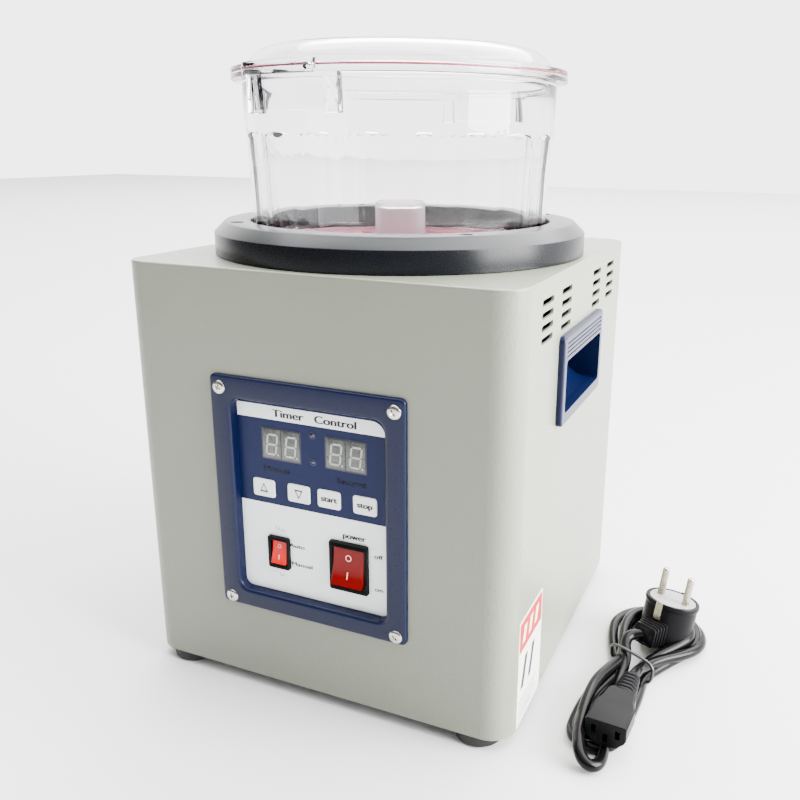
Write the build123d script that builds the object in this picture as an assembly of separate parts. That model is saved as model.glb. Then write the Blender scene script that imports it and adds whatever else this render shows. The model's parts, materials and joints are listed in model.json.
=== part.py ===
from build123d import *
import math
import os

# Magnetic tumbler: a square sheet-metal housing with a timer panel, a round collar on top,
# a clear fluted bowl with a domed lid, and a motor inside that spins a disc of magnets
# under the bowl.  A detached mains lead lies beside it as a tied hank.
#
# Millimetres.  +Z is up, -Y is the control panel's side, +X is the side with the label.
# The origin is on the standing surface, under the middle of the housing.

# --- Housing -------------------------------------------------------------------------
WIDTH = 250.0                   # across X and along Y
CORNER_RADIUS = 15.7            # the four upright bends
HOUSING_BOTTOM = 8.0
HOUSING_TOP = 268.0
SHEET = 1.5                     # sheet-metal thickness
TOP_EDGE_RADIUS = 1.2           # fold around the top
HALF = WIDTH / 2
INNER_HALF = HALF - SHEET
BASE_PLATE_Z = (9.0, 11.0)
FLANGE_WIDTH = 9.0              # the shell's inward lip that the base plate screws to
FLANGE_THICKNESS = 1.5
BASE_SCREW_POSITIONS = [(sx * 118.5, y) for sx in (-1, 1) for y in (-70, 0, 70)]
FOOT_POSITIONS = [(sx * 103, sy * 110) for sx in (-1, 1) for sy in (-1, 1)]
FOOT_RADIUS = 15.0
FOOT_NECK_RADIUS = 13.2         # where the foot stands up inside the wall

# --- Side vents and cup handles --------------------------------------------------------
VENT_COLUMNS = (-79.3, -40.3, 35.2, 75.5)
VENT_ROWS = (256.0, 249.1, 242.2, 235.3)
VENT_LENGTH = 22.0
VENT_HEIGHT = 3.5
HANDLE_Y = -4.6
HANDLE_FRAME = (97.4, 54.6)     # along Y, along Z
HANDLE_FRAME_Z = 203.3
HANDLE_STAND = 3.8              # how far the frame stands off the wall
HANDLE_MOUTH = (86.0, 32.0)
HANDLE_MOUTH_Z = 199.5
HANDLE_CUP = (90.0, 46.0)       # outside of the cup behind the wall
HANDLE_CUP_Z = 204.5
HANDLE_CUP_DEPTH = 24.0
HANDLE_WALL = 2.0

# --- Collar that the bowl stands in ------------------------------------------------------
COLLAR_RADIUS = 120.2
COLLAR_BORE = 97.5
COLLAR_HEIGHT = 20.0
COLLAR_CHAMFER = 7.0
COLLAR_TOP = HOUSING_TOP + COLLAR_HEIGHT
COLLAR_SCREW_CIRCLE = 107.0

# --- Bowl and lid ------------------------------------------------------------------------
PAD_THICKNESS = 1.2
BOWL_BOTTOM = 269.3
BOWL_FLOOR = 272.1
BOWL_BASE_RADIUS = 94.8
BOWL_TOP_RADIUS = 98.6
BOWL_WALL = 2.8
RIM_RADIUS = 105.0
RIM_BOTTOM = 371.5
RIM_TOP = 375.0
HUB_RADIUS = 16.2
HUB_TOP = 298.3
FLUTE_COUNT = 20
FLUTE_TOP = 341.0
FLUTE_RISE = 4.5                # height of the arch that ends each flute
FLUTE_DEPTH = 1.0
LUG_AZIMUTHS = (-101.5, 78.5)   # degrees, the two grips of the bowl
LUG_HALF_WIDTH = 33.5
LUG_BOTTOM = 351.0
GASKET_THICKNESS = 0.9
LID_FLANGE_TOP = 378.2
LID_WALL = 2.4
DOME_CENTRE = (79.0, 373.3)     # radius and height of the shoulder arc's centre
DOME_SHOULDER = 17.5
DOME_TOP = 392.3

# --- Control panel -------------------------------------------------------------------------
PANEL_Y = -121.0                # printed face, set back behind the frame
PANEL_PLATE = 2.0
FRAME_FACE_Y = -127.5
FRAME_SIZE = (127.0, 148.6)
FRAME_Z = 131.9
WINDOW_SIZE = (100.0, 122.6)
WINDOW_Z = 130.7
PANEL_SCREWS = [(sx * 56.7, z) for sx in (-1, 1) for z in (62.5, 198.5)]
DISPLAY_SIZE = (27.0, 20.0)
DISPLAYS = [(-19.6, 166.2), (23.2, 166.6)]      # minutes and seconds
LED_POSITIONS = [(1.7, 175.2), (1.7, 159.0)]
KEY_SIZE = (15.2, 11.2)
KEYS = {"key_up": (-32.8, 137.2), "key_down": (-8.7, 137.4),
        "key_start": (11.7, 137.6), "key_stop": (35.1, 137.9)}
KEY_PROUD = 1.0
KEY_TRAVEL = 0.5
BOARD_Y = (-112.8, -111.2)
BOARD_X = 50.0
BOARD_Z = (127.0, 182.0)
# name: x, z, bezel width, bezel height, cap width, cap height
ROCKERS = {"mode": (-23.9, 96.5, 15.0, 21.0, 10.6, 15.2),
           "power": (24.1, 97.0, 25.5, 31.5, 20.4, 23.4)}
ROCKER_TILT = 11.0              # the cap leans this far each way from the middle
ROCKER_BEZEL = 1.8
ROCKER_BODY = 20.0

# --- Rear inlet ----------------------------------------------------------------------------
INLET_X = 62.0
INLET_Z = 52.0
INLET_FLANGE = (50.0, 36.0)
INLET_FACE_Y = 129.0
SOCKET_SIZE = (24.6, 16.6)
SOCKET_DEPTH = 17.0
SOCKET_DROP = 7.0               # socket centre below the flange's middle
DRAWER_SIZE = (21.0, 8.0)
DRAWER_RISE = 11.0

# --- Motor and magnet disc -------------------------------------------------------------------
MOTOR_PLATE_Z = (166.0, 170.0)
MOTOR_PLATE_HALF = 100.0
PILLAR_OFFSET = 90.0
PILLAR_RADIUS = 6.0
SHAFT_RADIUS = 5.0
SHAFT_Z = (60.0, 252.5)
SHAFT_CLEARANCE = 0.05
MOTOR_RADIUS = 52.0
STATOR_Z = (100.0, 145.0)
ROTOR_RADIUS = 27.5
DISC_Z = (247.0, 253.0)
DISC_RADIUS = 88.0
MAGNET_COUNT = 8
MAGNET_SIZE = (36.0, 18.0, 9.0)
MAGNET_CIRCLE = 62.0

# --- Mains lead beside the machine -------------------------------------------------------------
CORD_RADIUS = 3.5
PLUG_CENTRE = (188.9, 26.4)
PLUG_LIFT = 3.2                 # its tilted base clears the surface by a little
PLUG_LEAN = 7.0                 # degrees, towards the side
PLUG_LEAN_BACK = 13.0           # degrees, towards the rear
PLUG_TURN = -21.6               # direction of the pin pair, degrees from +X
PLUG_RADIUS = 18.0
PLUG_HEIGHT = 31.0
PIN_SPACING = 19.0
PIN_RADIUS = 2.4
PIN_LENGTH = 19.0
CONNECTOR_FACE = (175.5, -103.0)
CONNECTOR_TURN = -4.0
CONNECTOR_BOTTOM = 8.4
CONNECTOR_SIZE = (24.0, 15.8)
TIE_CENTRE = (174.5, -19.0)
TIE_TURN = -30.0
TIE_WIDTH = 3.0
TIE_THICKNESS = 1.4
TIE_INSIDE = (31.5, 14.6)       # across the bundle, and upright
TIE_MIDDLE_Z = 8.9
HANK_UNDERSIDE = 0.2


def block(x, y, z):
    """A box between two coordinates along each axis."""
    centre = Pos((x[0] + x[1]) / 2, (y[0] + y[1]) / 2, (z[0] + z[1]) / 2)
    return centre * Box(x[1] - x[0], y[1] - y[0], z[1] - z[0])


def rod(radius, z, x=0.0, y=0.0):
    """An upright round bar."""
    return Pos(x, y, (z[0] + z[1]) / 2) * Cylinder(radius, z[1] - z[0])


def tube(outer, inner, z, x=0.0, y=0.0):
    """An upright tube."""
    return rod(outer, z, x, y) - rod(inner, z, x, y)


def front_sheet(size, radius, y, x=0.0, z=0.0):
    """A rounded rectangle facing -Y, between two y coordinates."""
    sketch = RectangleRounded(size[0], size[1], radius)
    return Pos(x, y[1], z) * Rot(90, 0, 0) * extrude(sketch, y[1] - y[0])


def front_rod(radius, y, x, z):
    """A round bar along Y."""
    return Pos(x, (y[0] + y[1]) / 2, z) * Rot(90, 0, 0) * Cylinder(radius, y[1] - y[0])


def side_sheet(size, radius, x, y=0.0, z=0.0):
    """A rounded rectangle facing +X, between two x coordinates."""
    sketch = Plane.YZ * RectangleRounded(size[0], size[1], radius)
    return Pos(x[0], y, z) * extrude(sketch, x[1] - x[0])


def group(pieces):
    """Several separate solids kept in one node."""
    return Compound(children=list(pieces))


def screw_head(radius, height):
    """A pan head with a cross recess, standing on z = 0."""
    head = Cylinder(radius, height, align=(Align.CENTER, Align.CENTER, Align.MIN))
    head = fillet(head.edges().group_by(Axis.Z)[-1], height * 0.6)
    slot = Box(radius * 1.15, radius * 0.28, height) + Box(radius * 0.28, radius * 1.15, height)
    return head - Pos(0, 0, height * 1.05) * slot


def screw(head_radius, head_height, shank_radius, shank_length):
    """A pan-head screw along +Z, the head's underside on z = 0."""
    shank = Pos(0, 0, -shank_length / 2) * Cylinder(shank_radius, shank_length)
    return screw_head(head_radius, head_height) + shank


# ---------------------------------------------------------------------------- housing

def housing_shell():
    """Wrapped walls and top in one piece, open below, with a lip for the base plate."""
    height = HOUSING_TOP - HOUSING_BOTTOM
    inner_radius = CORNER_RADIUS - SHEET
    outer = Pos(0, 0, HOUSING_BOTTOM) * extrude(RectangleRounded(WIDTH, WIDTH, CORNER_RADIUS), height)
    outer = fillet(outer.edges().group_by(Axis.Z)[-1], TOP_EDGE_RADIUS)
    inner_face = RectangleRounded(2 * INNER_HALF, 2 * INNER_HALF, inner_radius)
    inside = Pos(0, 0, HOUSING_BOTTOM) * extrude(inner_face, height - SHEET)
    shell = outer - inside
    lip_inner = INNER_HALF - FLANGE_WIDTH
    lip = extrude(inner_face, FLANGE_THICKNESS) - Box(2 * lip_inner, 2 * lip_inner, 10)
    shell += Pos(0, 0, BASE_PLATE_Z[1]) * lip
    shell -= front_sheet((107.4, 130.0), 3.0, (-130, -120), 0, WINDOW_Z)
    for x, z in PANEL_SCREWS:
        shell -= front_rod(1.8, (-130, -120), x, z)
    for side in (-1, 1):
        near, far = sorted((side * 120, side * 130))
        for y in VENT_COLUMNS:
            for z in VENT_ROWS:
                shell -= side_sheet((VENT_LENGTH, VENT_HEIGHT), VENT_HEIGHT / 2 - 0.01, (near, far), y, z)
        shell -= side_sheet((HANDLE_CUP[0] + 0.6, HANDLE_CUP[1] + 0.6), 3.3, (near, far), HANDLE_Y, HANDLE_CUP_Z)
    shell -= front_sheet((30.0, 30.6), 1.0, (120, 130), INLET_X, INLET_Z)
    for side in (-1, 1):
        shell -= front_rod(1.8, (120, 130), INLET_X + side * 20, INLET_Z)
    for x, y in BASE_SCREW_POSITIONS:
        shell -= rod(1.65, (10, 14), x, y)
    for x, y in collar_screw_points():
        shell -= rod(2.05, (260, 270), x, y)
    return shell


def base_plate():
    """Flat plate that closes the housing from below and carries the motor."""
    size = 2 * INNER_HALF - 1.0
    plate = Pos(0, 0, BASE_PLATE_Z[0]) * extrude(
        RectangleRounded(size, size, CORNER_RADIUS - SHEET - 0.5), BASE_PLATE_Z[1] - BASE_PLATE_Z[0])
    for x, y in BASE_SCREW_POSITIONS:
        plate -= rod(1.8, (8, 12), x, y)
    for x, y in FOOT_POSITIONS:
        plate -= rod(2.1, (8, 12), x, y)
    for angle in range(0, 360, 60):
        slot = Pos(38, 0, 10) * Box(30, 5, 6)
        plate -= Rot(0, 0, angle) * slot
    return plate


def base_screws():
    """Screws through the base plate into the shell's lip, heads below."""
    one = Rot(180, 0, 0) * screw(3.0, 1.6, 1.6, 4.4)
    return group(Pos(x, y, BASE_PLATE_Z[0]) * one for x, y in BASE_SCREW_POSITIONS)


def feet():
    """Four round rubber feet with rounded lower edges and a screw pocket."""
    with BuildSketch(Plane.XZ) as section:
        with BuildLine():
            Polyline((0, 0), (FOOT_RADIUS - 3, 0))
            ThreePointArc((FOOT_RADIUS - 3, 0), (FOOT_RADIUS - 1.1, 0.8), (FOOT_RADIUS - 0.3, 2.6))
            Polyline((FOOT_RADIUS - 0.3, 2.6), (FOOT_RADIUS, HOUSING_BOTTOM - 0.2),
                     (FOOT_NECK_RADIUS, HOUSING_BOTTOM - 0.2), (FOOT_NECK_RADIUS, BASE_PLATE_Z[0]),
                     (0, BASE_PLATE_Z[0]), (0, 0))
        make_face()
    foot = revolve(section.sketch, Axis.Z)
    foot -= rod(5.0, (-1, 4.5)) + rod(2.2, (-1, 12))
    return group(Pos(x, y, 0) * foot for x, y in FOOT_POSITIONS)


def foot_screws():
    """One screw up through each foot into the base plate, with a nut on top."""
    bolt = Pos(0, 0, 4.5) * Rot(180, 0, 0) * screw(4.0, 1.8, 1.95, 10.0)
    nut = Pos(0, 0, BASE_PLATE_Z[1]) * extrude(RegularPolygon(4.0, 6), 3.0) - rod(1.95, (10, 15))
    return group(Pos(x, y, 0) * (bolt + nut) for x, y in FOOT_POSITIONS)


def collar_screw_points():
    step = COLLAR_SCREW_CIRCLE / math.sqrt(2)
    return [(sx * step, sy * step) for sx in (-1, 1) for sy in (-1, 1)]


def collar_ring():
    """Thick ring on the housing, chamfered outside, bored for the bowl."""
    with BuildSketch(Plane.XZ) as section:
        with BuildLine():
            Polyline((COLLAR_BORE, HOUSING_TOP), (COLLAR_RADIUS, HOUSING_TOP),
                     (COLLAR_RADIUS, COLLAR_TOP - COLLAR_CHAMFER + 0.4),
                     (COLLAR_RADIUS - COLLAR_CHAMFER, COLLAR_TOP), (COLLAR_BORE, COLLAR_TOP),
                     (COLLAR_BORE, HOUSING_TOP))
        make_face()
    ring = revolve(section.sketch, Axis.Z)
    for x, y in collar_screw_points():
        ring -= rod(2.1, (266, 290), x, y)
        ring -= rod(4.2, (COLLAR_TOP - 4.0, 290), x, y)
    return ring


def collar_screws():
    """Sunk socket screws that hold the collar to the housing top."""
    length = COLLAR_TOP - 4.0 - HOUSING_TOP + SHEET + 3
    head = rod(3.9, (0, 3.4)) - Pos(0, 0, 3.0) * extrude(RegularPolygon(1.9, 6), 2)
    one = head + rod(1.95, (-length, 0))
    return group(Pos(x, y, COLLAR_TOP - 4.0) * one for x, y in collar_screw_points())


# ---------------------------------------------------------------------------- bowl and lid

def bowl_wall_radius(z):
    """Outside radius of the drafted bowl wall."""
    share = (z - BOWL_BOTTOM) / (RIM_BOTTOM - BOWL_BOTTOM)
    return BOWL_BASE_RADIUS + share * (BOWL_TOP_RADIUS - BOWL_BASE_RADIUS)


def flute_cutter():
    """Tool for one flat flute with an arched top, lying on the +X side."""
    half = math.pi * BOWL_BASE_RADIUS / FLUTE_COUNT - 0.7
    foot = BOWL_FLOOR + 4
    spring = FLUTE_TOP - FLUTE_RISE
    with BuildSketch() as outline:
        with BuildLine():
            Polyline((-half, spring), (-half, foot), (half, foot), (half, spring))
            ThreePointArc((half, spring), (0, FLUTE_TOP), (-half, spring))
        make_face()
    # The sketch's x becomes Y and its y becomes Z; the tool grows outward along +X.
    upright = Plane(origin=(0, 0, 0), x_dir=(0, 1, 0), z_dir=(1, 0, 0)) * outline.sketch
    tool = extrude(upright, 8)
    draft = math.degrees(math.atan2(BOWL_TOP_RADIUS - BOWL_BASE_RADIUS, RIM_BOTTOM - BOWL_BOTTOM))
    middle = (foot + spring) / 2
    depth = bowl_wall_radius(middle) - FLUTE_DEPTH
    return Pos(depth, 0, middle) * Rot(0, draft, 0) * Pos(0, 0, -middle) * tool


def lug():
    """Grip below the rim on the +X side: a front panel between two hollow ears."""
    ring = tube(RIM_RADIUS, 97.2, (LUG_BOTTOM, RIM_BOTTOM + 0.2))
    grip = ring & block((80, 110), (-LUG_HALF_WIDTH, LUG_HALF_WIDTH), (LUG_BOTTOM, RIM_BOTTOM + 0.2))
    for low, high in ((-31.3, -20.0), (20.0, 31.3)):
        ear = tube(RIM_RADIUS + 2, 99.8, (LUG_BOTTOM + 2.2, RIM_BOTTOM))
        grip -= ear & block((80, 110), (low, high), (LUG_BOTTOM, RIM_BOTTOM))
    gap = tube(RIM_RADIUS - 2.2, 90, (LUG_BOTTOM - 1, RIM_BOTTOM))
    return grip - (gap & block((80, 110), (-17.8, 17.8), (LUG_BOTTOM - 1, RIM_BOTTOM)))


def bowl():
    """Clear bowl: drafted wall with flutes, flat rim, raised hollow hub, two grips."""
    inner_top = BOWL_TOP_RADIUS - BOWL_WALL
    inner_base = BOWL_BASE_RADIUS - BOWL_WALL
    with BuildSketch(Plane.XZ) as section:
        with BuildLine():
            Polyline(
                (HUB_RADIUS - 3.0, BOWL_BOTTOM), (BOWL_BASE_RADIUS - 2, BOWL_BOTTOM),
                (BOWL_BASE_RADIUS, BOWL_BOTTOM + 2), (BOWL_TOP_RADIUS, RIM_BOTTOM),
                (RIM_RADIUS, RIM_BOTTOM), (RIM_RADIUS, RIM_TOP), (inner_top, RIM_TOP),
                (inner_base, BOWL_FLOOR), (HUB_RADIUS, BOWL_FLOOR), (HUB_RADIUS - 0.4, HUB_TOP - 1),
                (HUB_RADIUS - 1.4, HUB_TOP), (0, HUB_TOP), (0, HUB_TOP - 2.8),
                (HUB_RADIUS - 3.4, HUB_TOP - 2.8), (HUB_RADIUS - 3.0, BOWL_BOTTOM))
        make_face()
    body = revolve(section.sketch, Axis.Z)
    cutter = flute_cutter()
    for index in range(FLUTE_COUNT):
        body -= Rot(0, 0, LUG_AZIMUTHS[0] + (index + 0.5) * 360 / FLUTE_COUNT) * cutter
    for azimuth in LUG_AZIMUTHS:
        body += Rot(0, 0, azimuth) * lug()
    return body


def bowl_pad():
    """Thin soft pad under the bowl, inside the collar."""
    return rod(COLLAR_BORE - 1.0, (HOUSING_TOP, HOUSING_TOP + PAD_THICKNESS))


def dome_point(angle, inset=0.0):
    """Point of the lid's shoulder arc at an angle above the horizontal."""
    reach = DOME_SHOULDER - inset
    turn = math.radians(angle)
    return (DOME_CENTRE[0] + reach * math.cos(turn), DOME_CENTRE[1] + reach * math.sin(turn))


def crown_middle(edge, top):
    """Point halfway along a shallow round crown whose centre is on the bowl's axis."""
    rise = top - edge[1]
    crown_radius = (edge[0] ** 2 + rise ** 2) / (2 * rise)
    reach = edge[0] / 2
    return (reach, top - crown_radius + math.sqrt(crown_radius ** 2 - reach ** 2))


def lid():
    """Clear domed lid with a flat flange, an inner skirt and two grip covers."""
    flange_bottom = RIM_TOP + GASKET_THICKNESS
    low, high = 16.3, 78.0
    start, end = dome_point(low), dome_point(high)
    inner_start, inner_end = dome_point(12.0, LID_WALL), dome_point(high, LID_WALL)
    inner_top = DOME_TOP - LID_WALL
    skirt_outer, skirt_inner, skirt_bottom = 95.0, 93.0, 369.5
    with BuildSketch(Plane.XZ) as section:
        with BuildLine():
            Polyline((skirt_inner, skirt_bottom), (skirt_outer, skirt_bottom),
                     (skirt_outer, flange_bottom), (RIM_RADIUS, flange_bottom),
                     (RIM_RADIUS, LID_FLANGE_TOP), start)
            ThreePointArc(start, dome_point((low + high) / 2), end)
            ThreePointArc(end, crown_middle(end, DOME_TOP), (0, DOME_TOP))
            Polyline((0, DOME_TOP), (0, inner_top))
            ThreePointArc((0, inner_top), crown_middle(inner_end, inner_top), inner_end)
            ThreePointArc(inner_end, dome_point(45, LID_WALL), inner_start)
            Polyline(inner_start, (skirt_inner, skirt_bottom))
        make_face()
    body = revolve(section.sketch, Axis.Z)
    cover_z = (RIM_BOTTOM - 0.5, LID_FLANGE_TOP - 0.1)
    cover = tube(RIM_RADIUS + 2.4, RIM_RADIUS + 0.4, cover_z)
    cover += tube(RIM_RADIUS + 2.4, RIM_RADIUS - 1, (flange_bottom + 0.1, cover_z[1]))
    cover &= block((80, 120), (-LUG_HALF_WIDTH, 22.0), (cover_z[0] - 1, cover_z[1] + 1))
    hook = tube(RIM_RADIUS + 3.6, RIM_RADIUS + 0.4, cover_z)
    hook &= block((80, 120), (14.5, 22.0), (cover_z[0] - 1, cover_z[1] + 1))
    hook -= Pos(108, 18.2, 374.0) * Rot(0, 90, 0) * Cylinder(1.9, 12)
    grips = cover + hook
    return body + Rot(0, 0, LUG_AZIMUTHS[0]) * grips + Rot(0, 0, LUG_AZIMUTHS[1]) * grips


def lid_gasket():
    """Flat ring seal under the lid's flange."""
    return tube(RIM_RADIUS - 0.8, BOWL_TOP_RADIUS - 1.6, (RIM_TOP, RIM_TOP + GASKET_THICKNESS))


# ---------------------------------------------------------------------------- control panel

def bezel_frame():
    """Moulded frame on the front wall, its inner rim reaching back to the panel."""
    plate = front_sheet(FRAME_SIZE, 5.0, (FRAME_FACE_Y, -HALF), 0, FRAME_Z)
    face_edges = plate.edges().filter_by(lambda edge: abs(edge.center().Y - FRAME_FACE_Y) < 0.01)
    plate = fillet(face_edges, 1.2)
    rim_size = (WINDOW_SIZE[0] + 6.0, WINDOW_SIZE[1] + 6.0)
    rim = front_sheet(rim_size, 4.0, (FRAME_FACE_Y + 1, PANEL_Y), 0, WINDOW_Z)
    frame = plate + rim - front_sheet(WINDOW_SIZE, 3.0, (-130, -110), 0, WINDOW_Z)
    for x, z in PANEL_SCREWS:
        frame -= front_rod(1.9, (-130, -120), x, z)
        frame -= front_rod(4.4, (-130, FRAME_FACE_Y + 0.5), x, z)
    return frame


def bezel_screws():
    """Four chrome cross-head screws at the frame's corners."""
    one = Rot(90, 0, 0) * screw(4.1, 2.0, 1.75, 8.0)
    return group(Pos(x, FRAME_FACE_Y + 0.5, z) * one for x, z in PANEL_SCREWS)


def panel_openings(y, clearance):
    """Everything that passes through the panel, as one tool."""
    tools = []
    for x, z in DISPLAYS:
        size = (DISPLAY_SIZE[0] + clearance, DISPLAY_SIZE[1] + clearance)
        tools.append(front_sheet(size, 0.4, y, x, z))
    for x, z in LED_POSITIONS:
        tools.append(front_rod(1.5 + clearance / 2, y, x, z))
    for x, z in KEYS.values():
        tools.append(front_sheet((KEY_SIZE[0] + 0.5, KEY_SIZE[1] + 0.5), 1.2, y, x, z))
    for x, z, width, height, _, _ in ROCKERS.values():
        tools.append(front_sheet((width - 1.6, height - 1.6), 0.8, y, x, z))
    return Compound(children=tools)


def panel_plate():
    """Metal plate behind the frame that carries the switches."""
    y = (PANEL_Y, PANEL_Y + PANEL_PLATE)
    plate = front_sheet((124.0, 146.0), 3.0, y, 0, FRAME_Z)
    for tool in panel_openings((-125, -115), 0.4).children:
        plate -= tool
    for x, z in PANEL_SCREWS:
        plate -= front_rod(1.8, (-125, -115), x, z)
    return plate


def panel_overlay():
    """Printed film on the plate, inside the frame's window."""
    film = front_sheet((WINDOW_SIZE[0] - 0.6, WINDOW_SIZE[1] - 0.6), 2.6, (PANEL_Y - 0.25, PANEL_Y), 0, WINDOW_Z)
    for tool in panel_openings((-125, -115), 0.2).children:
        film -= tool
    return film


def time_displays():
    """Two-digit display blocks standing on the control board."""
    return group(front_sheet(DISPLAY_SIZE, 0.5, (PANEL_Y - 0.1, BOARD_Y[0]), x, z) for x, z in DISPLAYS)


def indicator_leds():
    """Two round lamps between the displays."""
    lamps = []
    for x, z in LED_POSITIONS:
        stem = front_rod(1.5, (PANEL_Y + 0.3, BOARD_Y[0]), x, z)
        lamps.append(stem + Pos(x, PANEL_Y + 0.3, z) * Sphere(1.5))
    return group(lamps)


def control_board():
    """Circuit board with a relay and a processor on its back."""
    board = block((-BOARD_X, BOARD_X), BOARD_Y, BOARD_Z)
    relay = block((10, 28), (BOARD_Y[1], BOARD_Y[1] + 15), (150, 165))
    chip = block((-28, -10), (BOARD_Y[1], BOARD_Y[1] + 3.5), (150, 158))
    terminal = block((-44, -34), (BOARD_Y[1], BOARD_Y[1] + 10), (133, 160))
    return board + relay + chip + terminal


def board_posts():
    """Spacers between the panel plate and the control board."""
    points = [(sx * (BOARD_X - 3), z) for sx in (-1, 1) for z in (BOARD_Z[0] + 4, BOARD_Z[1] - 4)]
    return group(front_rod(2.5, (PANEL_Y + PANEL_PLATE, BOARD_Y[0]), x, z) for x, z in points)


def key_cap(x, z):
    """Push key: a cap through the panel on a short stem, with a stop behind."""
    cap = front_sheet(KEY_SIZE, 1.0, (PANEL_Y - KEY_PROUD, PANEL_Y + PANEL_PLATE + 0.2), x, z)
    front_edges = cap.edges().filter_by(lambda edge: abs(edge.center().Y - (PANEL_Y - KEY_PROUD)) < 0.01)
    cap = fillet(front_edges, 0.35)
    stop_y = (PANEL_Y + PANEL_PLATE + 0.2, PANEL_Y + PANEL_PLATE + 1.0)
    stop = front_sheet((KEY_SIZE[0] + 2.4, KEY_SIZE[1] + 2.4), 1.0, stop_y, x, z)
    return cap + stop


def key_switches():
    """Tactile switches on the board, one behind each key."""
    switches = []
    for x, z in KEYS.values():
        body = front_sheet((6.0, 6.0), 0.4, (BOARD_Y[0] - 3.4, BOARD_Y[0]), x, z)
        plunger_y = (PANEL_Y + PANEL_PLATE + 1.0 + KEY_TRAVEL + 0.05, BOARD_Y[0] - 3.4)
        switches.append(body + front_rod(1.6, plunger_y, x, z))
    return group(switches)


def rocker_pivot(name):
    """Middle of a rocker's hinge line."""
    x, z = ROCKERS[name][:2]
    return (x, PANEL_Y + 1.2, z)


def rocker_body(name):
    """Switch housing: raised bezel in front, box behind, terminals at the back."""
    x, z, width, height, cap_width, cap_height = ROCKERS[name]
    bezel_y = (PANEL_Y - 0.25 - ROCKER_BEZEL, PANEL_Y - 0.25)
    bezel = front_sheet((width, height), 1.4, bezel_y, x, z)
    back = PANEL_Y + ROCKER_BODY
    box = front_sheet((width - 2.0, height - 2.0), 0.8, (PANEL_Y - 0.25, back), x, z)
    body = bezel + box
    well = front_sheet((cap_width + 0.8, cap_height + 0.8), 0.6, (-130, PANEL_Y + 9.0), x, z)
    body -= well
    for row in (-1, 1):
        tab = block((x - 2.4, x + 2.4), (back, back + 8), (z + row * 6 - 0.4, z + row * 6 + 0.4))
        body += tab
    return body


def rocker_cap(name):
    """Rocker: two faces meeting in a shallow valley, shown with its upper half pressed in."""
    x, z, _, _, cap_width, cap_height = ROCKERS[name]
    half = cap_height / 2
    peak = 4.6 if name == "power" else 3.4
    sink = 2.4
    # Outline in the Y-Z plane about the hinge line, for the level position.
    with BuildSketch(Plane.YZ) as outline:
        with BuildLine():
            Polyline((-peak, -half), (-peak, half), (sink, half - 1.2), (5.5, 3.0),
                     (5.5, -3.0), (sink, -half + 1.2), (-peak, -half))
        make_face()
    cap = Pos(-cap_width / 2, 0, 0) * extrude(outline.sketch, cap_width)
    cap &= Rot(0, 90, 0) * Cylinder(half + 0.2, cap_width + 2)
    cap -= Pos(0, -peak - 60 + 1.0, 0) * Rot(0, 90, 0) * Cylinder(60, cap_width + 2)
    px, py, pz = rocker_pivot(name)
    return Pos(px, py, pz) * Rot(-ROCKER_TILT, 0, 0) * cap


# ---------------------------------------------------------------------------- sides and rear

def cup_handle(side):
    """Recessed finger grip: a raised frame with a ribbed lip and a cup behind it."""
    wall_x = (HALF, HALF + HANDLE_STAND)
    frame = side_sheet(HANDLE_FRAME, 4.0, wall_x, HANDLE_Y, HANDLE_FRAME_Z)
    face_edges = frame.edges().filter_by(lambda edge: abs(edge.center().X - wall_x[1]) < 0.01)
    frame = fillet(face_edges, 1.5)
    cup_x = (HALF - HANDLE_CUP_DEPTH, HALF)
    cup = side_sheet(HANDLE_CUP, 3.0, cup_x, HANDLE_Y, HANDLE_CUP_Z)
    handle = frame + cup
    hollow_size = (HANDLE_CUP[0] - 2 * HANDLE_WALL, HANDLE_CUP[1] - 2 * HANDLE_WALL)
    hollow = side_sheet(hollow_size, 2.0, (cup_x[0] + HANDLE_WALL, HALF + 1.5), HANDLE_Y, HANDLE_CUP_Z)
    # The floor of the cup curves up towards its back.
    bend = 20.0
    floor_z = HANDLE_CUP_Z - hollow_size[1] / 2
    corner = block((cup_x[0], cup_x[0] + HANDLE_WALL + bend), (-60, 60), (floor_z - 1, floor_z + bend))
    round_tool = Pos(cup_x[0] + HANDLE_WALL + bend, 0, floor_z + bend) * Rot(90, 0, 0) * Cylinder(bend, 140)
    hollow -= corner - round_tool
    mouth = side_sheet(HANDLE_MOUTH, 3.0, (HALF - 4, HALF + 9), HANDLE_Y, HANDLE_MOUTH_Z)
    handle -= hollow
    handle -= mouth
    for row in range(4):
        groove_z = HANDLE_MOUTH_Z + HANDLE_MOUTH[1] / 2 + 2.6 + row * 2.6
        handle -= side_sheet((86.0, 1.0), 0.45, (wall_x[1] - 0.6, wall_x[1] + 2), HANDLE_Y, groove_z)
    return handle if side > 0 else mirror(handle, Plane.YZ)


def side_label():
    """Generic label near the front lower corner of the right wall."""
    return side_sheet((45.0, 70.0), 1.5, (HALF, HALF + 0.2), -86.0, 42.0)


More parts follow.
